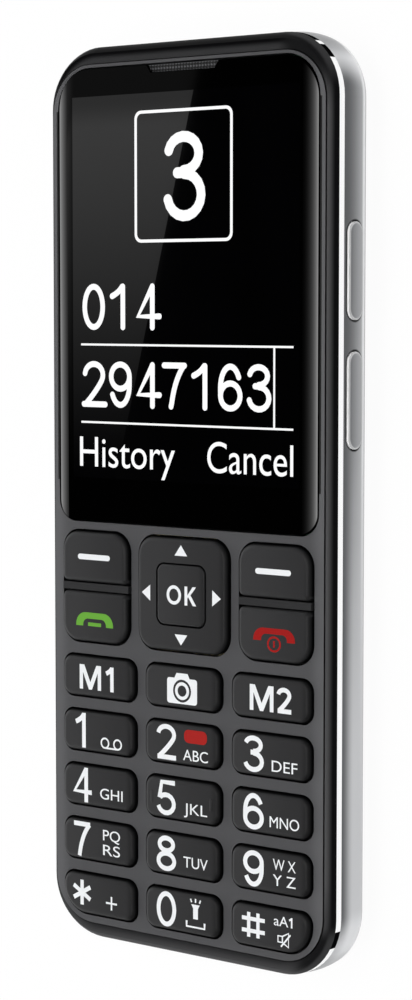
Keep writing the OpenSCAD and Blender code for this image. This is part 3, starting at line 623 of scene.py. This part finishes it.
for part in frame["record"]["subparts"]:
    node, slot = part["node"], part["material_slot"]
    finish = OWN_FINISHES[slot](node) if slot in OWN_FINISHES else FINISHES[slot]
    skins = NODES[node].data.materials
    skins.clear()
    skins.append(finish.material)


# Outlines of signs, in millimetres

BEND_STEPS, CORNER_STEPS = 8, 5


def arc(centre, radii, start, end, steps=14):
    """Points on part of an ellipse, from one angle to another in degrees."""
    turns = [math.radians(start + (end - start) * i / steps) for i in range(steps + 1)]
    return [(centre[0] + radii[0] * math.cos(a), centre[1] + radii[1] * math.sin(a)) for a in turns]


def oval(centre, radii, steps=28):
    return arc(centre, radii, 0, 360, steps)[:-1]


def bend(start, pull, end):
    """Points on a curve between two ends, drawn towards a third point."""
    shares = [i / BEND_STEPS for i in range(BEND_STEPS + 1)]
    return [tuple((1 - t) ** 2 * a + 2 * t * (1 - t) * p + t * t * b for a, p, b in zip(start, pull, end))
            for t in shares]


def rounded(width, height, radius, centre=(0, 0)):
    """Outline of a rounded rectangle."""
    x, y = width / 2 - radius, height / 2 - radius
    corners = [(x, y, 0), (-x, y, 90), (-x, -y, 180), (x, -y, 270)]
    points = []
    for cx, cy, start in corners:
        points += arc((cx + centre[0], cy + centre[1]), (radius, radius), start, start + 90, CORNER_STEPS)
    return points


def moved(points, x, y, grow=1.0):
    return [(grow * px + x, grow * py + y) for px, py in points]


# Signs: flat marks of one thickness

SIGN_LIFT, SIGN_MERGE = 0.012, 0.0005


def new_curve(lines, closed, flat):
    """A curve object with one straight-edged spline for each line of points."""
    curve = bpy.data.curves.new("sign", "CURVE")
    curve.dimensions = "2D" if flat else "3D"
    curve.fill_mode = "BOTH" if flat else "FULL"
    for points, is_closed in zip(lines, closed):
        spline = curve.splines.new("POLY")
        spline.points.add(len(points) - 1)
        for point, (x, y) in zip(spline.points, points):
            point.co = (x, y, 0, 1)
        spline.use_cyclic_u = is_closed
    sign = bpy.data.objects.new("sign", curve)
    bpy.context.scene.collection.objects.link(sign)
    return sign


def only(*objects):
    """Selects these objects and no others; the first is the active one."""
    bpy.ops.object.select_all(action="DESELECT")
    for item in objects:
        item.select_set(True)
    bpy.context.view_layer.objects.active = objects[0]


def as_mesh(sign):
    only(sign)
    bpy.ops.object.convert(target="MESH")
    return bpy.context.object


def filled_sign(*loops):
    """A solid mark; a loop inside another is a hole in it."""
    sign = new_curve(loops, [True] * len(loops), True)
    sign.data.extrude = SIGN_LIFT
    return as_mesh(sign)


def stroke_sign(lines, weight, closed=None):
    """A mark drawn with a pen of one weight."""
    sign = new_curve(lines, closed or [False] * len(lines), False)
    sign.data.bevel_depth = weight / 2
    sign.data.bevel_resolution = 0
    sign.data.use_fill_caps = True
    sign = as_mesh(sign)
    bpy.ops.object.shade_flat()
    sign.scale.z = 2 * SIGN_LIFT / weight
    return sign


def round_ends(lines, weight, closed):
    """Discs that round off the open ends of pen lines."""
    tips = [tip for line, shut in zip(lines, closed) if not shut for tip in (line[0], line[-1])]
    return [filled_sign(oval(tip, (weight / 2, weight / 2), 16)) for tip in tips]


def text_sign(text):
    """Letters as a mesh, with their lowest and highest corners."""
    bpy.ops.object.select_all(action="DESELECT")
    bpy.ops.object.text_add()
    words = bpy.context.object
    words.data.body = text
    words.data.extrude = SIGN_LIFT
    words = as_mesh(words)
    xs = [point.co.x for point in words.data.vertices]
    ys = [point.co.y for point in words.data.vertices]
    return words, (min(xs), min(ys)), (max(xs), max(ys))


def capital_height():
    letter, _, high = text_sign("H")
    bpy.data.objects.remove(letter)
    return high[1]


CAPITAL = capital_height()


def lettering(text, width, height, centre):
    """Letters that fill a width, with capitals of a given height."""
    words, low, high = text_sign(text)
    wide, tall = width / (high[0] - low[0]), height / CAPITAL
    words.scale = (wide, tall, 1)
    words.location = (centre[0] - wide * (high[0] + low[0]) / 2, centre[1] - height / 2, 0)
    return words


def figure_lines(figure, width, pen):
    """Pen lines of a figure one unit tall, and which of them are closed."""
    left, right, middle = pen / 2, width - pen / 2, width / 2
    foot, top = pen / 2, 1 - pen / 2
    half = (right - left) / 2
    if figure == "0":
        return [oval((middle, 0.5), (half, top - 0.5), 36)], [True]
    if figure == "1":
        stem = 0.62 * width
        flag = bend((stem, 0.97), (stem - 0.08, 0.82), (stem - 0.30, 0.73))
        return [[(stem, 0), (stem, 1)], flag], [False] * 2
    if figure == "2":
        bowl = arc((middle, 0.7), (half, top - 0.7), 172, -28)
        neck = bend(bowl[-1], (middle + 0.1, 0.38), (left + 0.02, foot))
        return [bowl + neck[1:], [(left - 0.03, foot), (width, foot)]], [False] * 2
    if figure == "3":
        upper = arc((middle - 0.01, 0.75), (0.9 * half, top - 0.75), 168, -90)
        lower = arc((middle, 0.295), (half, 0.295 - foot), 90, -168)
        return [upper, lower, [(middle - 0.1, 0.54), (middle + 0.02, 0.54)]], [False] * 3
    if figure == "4":
        stem = 0.73 * width
        arm = [(stem, 0.96), (left + 0.01, 0.3), (width + 0.02, 0.3)]
        return [[(stem, 0), (stem, 1)], arm], [False] * 2
    if figure == "5":
        flag = [(0.94 * width, top), (0.27 * width, top), (0.15 * width, 0.48)]
        bowl = arc((middle - 0.01, 0.325), (half, 0.325 - foot), 138, -165)
        return [flag, bowl], [False] * 2
    if figure == "6":
        stem = arc((middle, 0.5), (half, top - 0.5), 30, 180) + [(left, 0.33)]
        return [stem, oval((middle, 0.325), (half, 0.325 - foot))], [False, True]
    if figure == "7":
        slope = bend((right, top), (middle - 0.02, 0.6), (0.36 * width, 0))
        return [[(left - 0.02, top), (right + 0.02, top)], slope], [False] * 2
    if figure == "8":
        upper = oval((middle, 0.755), (0.86 * half, top - 0.755))
        lower = oval((middle, 0.285), (half, 0.285 - foot))
        return [upper, lower], [True] * 2
    lines, closed = figure_lines("6", width, pen)
    return [[(width - x, 1 - y) for x, y in line] for line in lines], closed


def figure_signs(figure, height, centre, weight, width, soft=False):
    """One figure of a given height and pen weight; soft gives its lines round ends."""
    pen = weight / height
    lines, closed = figure_lines(figure, width, pen)
    inset = pen / 2 if soft else 0
    lines = [[(x, min(max(y, inset), 1 - inset)) for x, y in line] for line in lines]
    x, y = centre[0] - width * height / 2, centre[1] - height / 2
    lines = [moved(line, x, y, height) for line in lines]
    return [stroke_sign(lines, weight, closed)] + (round_ends(lines, weight, closed) if soft else [])


def letter_m(centre, width, height, pen):
    x, y, slant = width / 2, height / 2, 1.75 * pen
    shoulder, point = x - 1.4 * pen, 0.45 * pen
    top = [(-x, -y), (-x, y), (-shoulder, y), (0, slant - y), (shoulder, y), (x, y), (x, -y)]
    right = [(x - pen, -y), (x - pen, y - slant), (point, -y)]
    left = [(-px, py) for px, py in reversed(right)]
    return filled_sign(moved(top + right + left, *centre))


def letter_o(centre, width, height, pen):
    return filled_sign(*(oval(centre, (width / 2 - inset, height / 2 - inset)) for inset in (0, pen)))


def letter_k(centre, width, height, pen):
    x, y = width / 2, height / 2
    stem = pen - x
    arm = [(stem, 0.07 * y), (0.39 * x, y), (0.97 * x, y), (0.02 * x, 0.11 * y)]
    leg = [(x, -y), (0.41 * x, -y), (-0.37 * x, -0.1 * y), (stem, -0.25 * y)]
    return filled_sign(moved([(-x, -y), (-x, y), (stem, y)] + arm + leg + [(stem, -y)], *centre))


def pointer(centre, width, height, turn):
    """Small solid triangle that points along an angle in degrees."""
    corners = [(0, height / 2), (-width / 2, -height / 2), (width / 2, -height / 2)]
    a = math.radians(turn - 90)
    turned = [(x * math.cos(a) - y * math.sin(a), x * math.sin(a) + y * math.cos(a)) for x, y in corners]
    return filled_sign(moved(turned, *centre))


def handset(centre, width, height):
    """Solid handset: a flat arch with two thick ends."""
    x, y = width / 2, height / 2
    leg, bar, crown = 0.19 * width, 0.45 * height, 0.9 * height
    hollow = crown - bar
    outer = [(-x, -y)] + arc((-x + crown, y - crown), (crown, crown), 180, 90, 6)
    outer += arc((x - crown, y - crown), (crown, crown), 90, 0, 6) + [(x, -y)]
    inner = [(x - leg, -y)] + arc((x - leg - hollow, y - crown), (hollow, hollow), 0, 90, 6)
    inner += arc((leg + hollow - x, y - crown), (hollow, hollow), 90, 180, 6) + [(leg - x, -y)]
    return filled_sign(moved(outer + inner, *centre))


def camera_signs(x, y):
    """Camera: a body with a finder on top, and a lens ring in a round gap."""
    side, top, foot, round_off = 2.85, 1.55, -2.3, 0.45
    radii = (round_off, round_off)
    right = arc((side - round_off, foot + round_off), radii, -90, 0, CORNER_STEPS)
    right += arc((side - round_off, top - round_off), radii, 0, 90, CORNER_STEPS)
    finder = [(1.45, top), (1.05, top + 0.75), (-1.05, top + 0.75), (-1.45, top)]
    left = [(-px, py) for px, py in reversed(right)]
    gap, ring, eye = (oval((x, y - 0.35), (radius, radius)) for radius in (1.72, 1.34, 0.84))
    return [filled_sign(moved(right + finder + left, x, y), gap), filled_sign(ring, eye)]


def voicemail_signs(x, y):
    """Two reels on one tape."""
    reel, apart = 0.74, 1.26
    reels = [oval((x + side * apart, y), (reel, reel), 20) for side in (-1, 1)]
    tape = [(x - apart, y - reel), (x + apart, y - reel)]
    return [stroke_sign(reels + [tape], 0.27, [True, True, False])]


def torch_signs(x, y):
    """Torch that points up, with a bracket for the space under it."""
    body = [(-0.45, -1.5), (0.45, -1.5), (0.45, 0.1), (0.8, 0.7), (-0.8, 0.7), (-0.45, 0.1)]
    rays = [[(-0.75, 1.0), (-0.95, 1.5)], [(0, 1.0), (0, 1.6)], [(0.75, 1.0), (0.95, 1.5)]]
    bracket = [(-1.7, -1.9), (-1.7, -2.75), (1.7, -2.75), (1.7, -1.9)]
    torch = filled_sign(moved(body, x, y))
    light = stroke_sign([moved(ray, x, y) for ray in rays], 0.26)
    return [torch, light, stroke_sign([moved(bracket, x, y)], 0.36)]


def mute_signs(x, y):
    """Loudspeaker with a stroke through it."""
    box = [(-1.1, 0.45), (-1.1, -0.45), (-0.3, -0.45), (-0.3, 0.45)]
    cone = [(-0.3, 0.45), (0.8, 1.05), (0.8, -1.05), (-0.3, -0.45)]
    cross = [(1.15, 0.85), (-0.55, -1.1)]
    lines = [moved(line, x, y) for line in (box, cone, cross)]
    return [stroke_sign(lines, 0.26, [True, True, False])]


def power_signs(x, y):
    """Ring with a short upright stroke in it."""
    return [stroke_sign([oval((x, y), (1.1, 1.02)), [(x, y + 0.48), (x, y - 0.48)]], 0.3, [True, False])]


def finish_piece(signs, name, body, finish, middle, top):
    """Joins signs into one piece round a middle, on a surface at a height."""
    for sign in signs:
        only(sign)
        bpy.ops.object.transform_apply(location=True, rotation=True, scale=True)
    only(*signs)
    if len(signs) > 1:
        bpy.ops.object.join()
    piece = bpy.context.object
    bpy.ops.object.mode_set(mode="EDIT")
    bpy.ops.mesh.select_all(action="SELECT")
    bpy.ops.mesh.remove_doubles(threshold=SIGN_MERGE)
    bpy.ops.mesh.normals_make_consistent(inside=False)
    bpy.ops.object.mode_set(mode="OBJECT")
    bpy.ops.object.shade_flat()
    piece.scale = (MM, MM, MM)
    piece.location = (middle.x, middle.y, top)
    bpy.ops.object.transform_apply(location=True, rotation=True, scale=True)
    piece.name = name
    piece.data.name = name
    piece.data.materials.clear()
    piece.data.materials.append(finish.material)
    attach(piece, body)


def on_key(node, signs, finish, kind="print"):
    """Puts signs on the top of a key."""
    low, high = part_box(node)
    finish_piece(signs, f"{node}_{kind}", node, finish, (low + high) / 2, high.z)


# Print on the number keys

# Text, width and height of its middle; a space parts two rows, and _ is a space in a row
LETTERS = {
    "2": ("ABC", 4.7, -1.5),
    "3": ("DEF", 4.6, -1.3),
    "4": ("GHI", 4.5, -0.85),
    "5": ("JKL", 4.4, -1.1),
    "6": ("MNO", 5.3, -1.05),
    "7": ("PQ RS", 3.4, 0.1),
    "8": ("TUV", 4.6, -0.7),
    "9": ("W_X Y_Z", 4.1, 0.1),
}
LETTER_X, LETTER_H, LETTER_ROW = 2.75, 1.62, 2.3
LEFT_COLUMN, LEFT_X, MIDDLE_X, FIGURE_Y = "147", -3.2, -2.85, 0.1
FIGURE_H, FIGURE_PEN, FIGURE_W = 5.4, 0.74, 0.7
REELS_Y, TORCH_Y = -1.45, 0.85


def letter_signs(figure):
    """The letters of a number key, in one row or two."""
    text, width, middle = LETTERS[figure]
    rows = text.split()
    first = middle + LETTER_ROW * (len(rows) - 1) / 2
    return [lettering(row.replace("_", " "), width, LETTER_H, (LETTER_X, first - i * LETTER_ROW))
            for i, row in enumerate(rows)]


def number_signs(figure):
    """A figure with its letters or its own sign."""
    place = (LEFT_X if figure in LEFT_COLUMN else MIDDLE_X, FIGURE_Y)
    signs = figure_signs(figure, FIGURE_H, place, FIGURE_PEN, FIGURE_W)
    if figure in LETTERS:
        signs += letter_signs(figure)
    if figure == "1":
        signs += voicemail_signs(LETTER_X, REELS_Y)
    if figure == "0":
        signs += torch_signs(LETTER_X, TORCH_Y)
    return signs


for figure in "0123456789":
    on_key(f"key_{figure}", number_signs(figure), WHITE_PRINT)
BADGE = rounded(4.3, 2.0, 0.8, (LETTER_X, 1.35))
on_key("key_2", [filled_sign(BADGE)], BADGE_PRINT, "badge")


# Print on the other keys

STAR_X, STAR_Y, STAR_R, STAR_PEN = -3.25, 0.2, 1.95, 0.68
PLUS_X, PLUS_Y, PLUS_HALF_W, PLUS_HALF_H, PLUS_PEN = 2.7, -0.75, 1.1, 1.05, 0.3
BARS_APART, BARS_TOP, BARS_FOOT = 0.85, 2.0, -1.7
RUNGS_APART, RUNGS_Y, RUNGS_HALF_W, HASH_PEN = 0.9, 0.15, 2.1, 0.6
CASE_Y, MUTE_Y = 1.5, -1.15
MEMORY_Y, MEMORY_H = -0.05, 3.8
ARROW_RING, ARROW_W, ARROW_H = 6.7, 2.4, 1.6


def star_signs():
    spokes = [arc((STAR_X, STAR_Y), (STAR_R, STAR_R), turn, turn + 180, 1) for turn in (90, 30, 150)]
    level = [(PLUS_X - PLUS_HALF_W, PLUS_Y), (PLUS_X + PLUS_HALF_W, PLUS_Y)]
    upright = [(PLUS_X, PLUS_Y + PLUS_HALF_H), (PLUS_X, PLUS_Y - PLUS_HALF_H)]
    return [stroke_sign(spokes, STAR_PEN), stroke_sign([level, upright], PLUS_PEN)]


def hash_signs():
    """Two bars and two rungs, with the signs for letter case and silence beside them."""
    sides = (-1, 1)
    bars = [[(MIDDLE_X + side * BARS_APART, y) for y in (BARS_TOP, BARS_FOOT)] for side in sides]
    rungs = [[(MIDDLE_X + end * RUNGS_HALF_W, RUNGS_Y + side * RUNGS_APART) for end in sides]
             for side in sides]
    case = [lettering("aA", 2.6, 1.45, (LETTER_X - 0.55, CASE_Y))]
    case += figure_signs("1", 1.5, (LETTER_X + 1.25, CASE_Y), 0.28, 0.6)
    return [stroke_sign(bars + rungs, HASH_PEN)] + case + mute_signs(LETTER_X, MUTE_Y)


def memory_signs(figure):
    """The letter M and a figure."""
    letter = letter_m((-1.4, MEMORY_Y), 4.3, MEMORY_H, 0.66)
    return [letter] + figure_signs(figure, MEMORY_H, (2.6, MEMORY_Y), 0.68, 0.7)


def arrow_signs():
    signs = []
    for angle in (0, 90, 180, 270):
        turn = math.radians(angle)
        tip = (ARROW_RING * math.cos(turn), ARROW_RING * math.sin(turn))
        signs.append(pointer(tip, ARROW_W, ARROW_H, angle))
    return signs


def call_signs():
    """A handset on its rest."""
    return [handset((0.1, -0.35), 7.4, 2.1), filled_sign(rounded(2.6, 0.55, 0.05, (0.1, -1.1)))]


def end_signs():
    """A handset put down, over the sign for power."""
    return [handset((0.2, 0.1), 7.5, 1.9)] + power_signs(0.2, -1.25)


on_key("key_star", star_signs(), WHITE_PRINT)
on_key("key_hash", hash_signs(), WHITE_PRINT)
on_key("key_m1", memory_signs("1"), WHITE_PRINT)
on_key("key_m2", memory_signs("2"), WHITE_PRINT)
on_key("key_camera", camera_signs(0.2, -0.1), WHITE_PRINT)
on_key("key_ok", [letter_o((-1.27, 0), 2.77, 2.9, 0.5), letter_k((1.87, 0), 2.2, 2.83, 0.52)], WHITE_PRINT)
on_key("nav_ring", arrow_signs(), WHITE_PRINT)
for node in ("key_soft_left", "key_soft_right"):
    on_key(node, [filled_sign(rounded(6.4, 0.85, 0.42))], WHITE_PRINT)
on_key("key_call", call_signs(), GREEN_PRINT)
on_key("key_end", end_signs(), RED_PRINT)


# Raised bars at the two sides of the middle key

TOUCH_X, TOUCH_SINK, TOUCH_ROUND = 0.00565, 0.00016, 0.00024
TOUCH_SIZE = (0.0006, 0.0020, 0.0005)


def touch_bar(side, name):
    """A rounded bar that stands just proud of the key."""
    low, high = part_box("key_5")
    middle = (low + high) / 2
    bpy.ops.object.select_all(action="DESELECT")
    place = (middle.x + side * TOUCH_X, middle.y, high.z - TOUCH_SINK)
    bpy.ops.mesh.primitive_cube_add(size=1, location=place)
    bar = bpy.context.object
    bar.scale = TOUCH_SIZE
    bpy.ops.object.transform_apply(location=True, rotation=True, scale=True)
    bpy.ops.object.mode_set(mode="EDIT")
    bpy.ops.mesh.select_all(action="SELECT")
    bpy.ops.mesh.bevel(offset=TOUCH_ROUND, segments=4, profile=0.5, affect="EDGES")
    bpy.ops.object.mode_set(mode="OBJECT")
    bpy.ops.object.shade_smooth()
    bar.name = name
    bar.data.name = name
    bar.data.materials.append(NODES["key_5"].data.materials[0])
    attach(bar, "key_5")


touch_bar(-1, "touch_bar_left")
touch_bar(1, "touch_bar_right")


# What the display shows, in millimetres

FIRST_LINE, SECOND_LINE = "014", "2947163"
FIRST_Y, SECOND_Y, RULES_Y = 29.25, 17.55, (23.55, 11.75)
SHOWN_H, SHOWN_W, SHOWN_PITCH, SHOWN_PEN = 7.0, 0.64, 5.22, 0.9
LINE_LEFT, LINE_RIGHT, LINE_INSET, RULE = -19.7, 20.3, 0.3, 0.3
CURSOR_X, CURSOR_Y, CURSOR_W, CURSOR_H = 16.9, 17.6, 0.32, 11.6
BIG_MIDDLE, BIG_H, BIG_PEN, BIG_W = (0.4, 48.4), 13.2, 1.6, 0.6
BOX_MIDDLE, BOX_SIZES = (0.15, 48.55), ((18.4, 19.5, 1.2), (17.5, 18.6, 0.85))
WORD_Y, WORD_H = 7.25, 4.5


def shown_line(figures, y):
    """A line of figures at an even pitch."""
    first = LINE_LEFT + LINE_INSET + SHOWN_W * SHOWN_H / 2
    signs = []
    for i, figure in enumerate(figures):
        signs += figure_signs(figure, SHOWN_H, (first + i * SHOWN_PITCH, y), SHOWN_PEN, SHOWN_W, soft=True)
    return signs


def display_signs():
    """The last figure in a box, two lines of figures with rules and a cursor, and two words."""
    signs = figure_signs(SECOND_LINE[-1], BIG_H, BIG_MIDDLE, BIG_PEN, BIG_W, soft=True)
    signs.append(filled_sign(*(rounded(*size, BOX_MIDDLE) for size in BOX_SIZES)))
    signs += shown_line(FIRST_LINE, FIRST_Y)
    signs += shown_line(SECOND_LINE, SECOND_Y)
    middle, width = (LINE_LEFT + LINE_RIGHT) / 2, LINE_RIGHT - LINE_LEFT
    signs += [filled_sign(rounded(width, RULE, 0.05, (middle, y))) for y in RULES_Y]
    signs.append(filled_sign(rounded(CURSOR_W, CURSOR_H, 0.05, (CURSOR_X, CURSOR_Y))))
    signs.append(lettering("History", 18.6, WORD_H, (-10.7, WORD_Y)))
    signs.append(lettering("Cancel", 15.6, WORD_H, (12.5, WORD_Y)))
    return signs


PANE_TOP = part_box("display_window")[1].z
ORIGIN = Vector((0, 0, 0))
finish_piece(display_signs(), "display_picture", "housing", DISPLAY_LIGHT, ORIGIN, PANE_TOP)


# Stage: pale floor, soft light and the camera at the photograph's angle, in metres

FLOOR_SIZE, FLOOR_DROP = 6, 0.0001


def floor_finish():
    """White floor: lit by the lamps, and lifted to white where it is looked at or mirrored."""
    finish = Finish("floor_white", Roughness=0.9, Specular_IOR_Level=0.1)
    cloud = finish.noise(0.4, 2.0)
    finish.feed("Base Color", finish.blend(tone(246, 246, 246), tone(250, 250, 250), cloud))
    seen = [finish.node("LightPath", None, None, out)
            for out in ("Is Camera Ray", "Is Glossy Ray", "Is Transmission Ray")]
    look = seen[0].most(seen[1]).most(seen[2])
    glow = finish.node("Emission", None, {"Color": WHITE, "Strength": 1.0})
    lit = Signal(finish, finish.shader.outputs[0])
    both = finish.node("MixShader", None, {0: look * 0.96, 1: lit, 2: glow})
    finish.plug(both, finish.tree.nodes["Material Output"].inputs["Surface"])
    return finish


def flat_stage(name, centre, size, finish):
    """A flat staged sheet: the floor, or a soft light card."""
    bpy.ops.object.select_all(action="DESELECT")
    bpy.ops.mesh.primitive_plane_add(size=1, location=centre)
    sheet = bpy.context.object
    sheet.scale = (*size, 1)
    bpy.ops.object.transform_apply(location=True, rotation=True, scale=True)
    sheet.name = name
    sheet.data.materials.append(finish.material)
    return sheet


CARD_Z = 1.0
OVERHEAD_X, OVERHEAD_SIZE = -0.06, (1.04, 0.9)
GLOSS_X, GLOSS_SIZE = -1.05, (0.4, 1.0)
GLOSS_SHIFT, GLOSS_SLANT = 0.16, 0.26


def card_finish(name, strength):
    return Finish(name, Base_Color=BLACK, Specular_IOR_Level=0.0, Emission_Strength=strength)


def light_card(name, x, size, finish):
    card = flat_stage(name, (x, 0, CARD_Z), size, finish)
    card.visible_camera = False
    return card


def overhead_card():
    """Main light: a wide soft card above the face, dimmer towards its sides."""
    finish = card_finish("overhead_card", 8.6)
    across, _, _ = finish.axes()
    level = ((across - 0.06) / 0.125).power_of_e().least(1 - across.ramp(0.1, 0.46))
    finish.feed("Emission Color", finish.blend(BLACK, WHITE, level))
    light_card("overhead_card", OVERHEAD_X, OVERHEAD_SIZE, finish)


def gloss_card():
    """Dim card on the left whose slanted edge mirrors in the display, fading towards the keypad."""
    finish = card_finish("gloss_card", 0.78)
    _, along, _ = finish.axes()
    level = along.ramp(-0.1, 0.2) * (1 - along.ramp(0.145, 0.165) * 0.4)
    finish.feed("Emission Color", finish.blend(BLACK, WHITE, level))
    card = light_card("gloss_card", GLOSS_X, GLOSS_SIZE, finish)
    only(card)
    for end, shift in ((1, GLOSS_SHIFT), (-1, GLOSS_SHIFT - GLOSS_SLANT)):
        bpy.ops.object.mode_set(mode="EDIT")
        bpy.ops.mesh.select_all(action="DESELECT")
        bpy.ops.object.mode_set(mode="OBJECT")
        for point in card.data.vertices:
            point.select = point.co.x > GLOSS_X and point.co.y * end > 0
        bpy.ops.object.mode_set(mode="EDIT")
        bpy.ops.transform.translate(value=(shift, 0, 0))
        bpy.ops.object.mode_set(mode="OBJECT")


def surroundings():
    """A white horizon under a dark ceiling, with a low glow on the left and a higher one on the right."""
    world = bpy.data.worlds.new("studio")
    bpy.context.scene.world = world
    world.use_nodes = True
    sky = Net(world.node_tree)
    across, _, height = sky.split(sky.node("TexCoord", out="Generated"))
    horizon = 1 - height.ramp(0.02, 0.32)
    left = (-across).ramp(0.4, 0.8) * height.stripe((0.02, 0.15), (0.15, 0.79))
    right = across.ramp(0.45, 0.7) * height.stripe((0.3, 0.45), (0.65, 0.85))
    seen = sky.node("LightPath", None, None, "Is Camera Ray")
    level = (horizon + left * 3.2 + right * 1.3).most(seen)
    backdrop = world.node_tree.nodes["Background"]
    sky.plug(level, backdrop.inputs["Strength"])
    sky.plug(WHITE, backdrop.inputs["Color"])


CAMERA_PLACE = Vector((0.22913, 0.02962, 0.30146))
CAMERA_BACK = Vector((0.61377, 0.07843, 0.78558)).normalized()
CAMERA_LENS, CAMERA_SENSOR, CAMERA_NEAR = 89.49, 36, 0.01


def camera():
    """Camera worked out from the key grid's perspective; the frame is 412 by 1000."""
    right = Vector((CAMERA_BACK.z, 0, -CAMERA_BACK.x)).normalized()
    up = CAMERA_BACK.cross(right)
    lens = bpy.data.cameras.new("camera")
    lens.lens = CAMERA_LENS
    lens.sensor_width = CAMERA_SENSOR
    lens.clip_start = CAMERA_NEAR
    eye = bpy.data.objects.new("camera", lens)
    bpy.context.scene.collection.objects.link(eye)
    turn = Matrix((right, up, CAMERA_BACK)).transposed().to_4x4()
    eye.matrix_world = Matrix.Translation(CAMERA_PLACE) @ turn
    bpy.context.scene.camera = eye


flat_stage("floor", (0, 0, -FLOOR_DROP), (FLOOR_SIZE, FLOOR_SIZE), floor_finish())
overhead_card()
gloss_card()
surroundings()
camera()
bpy.context.scene.view_settings.view_transform = "Standard"
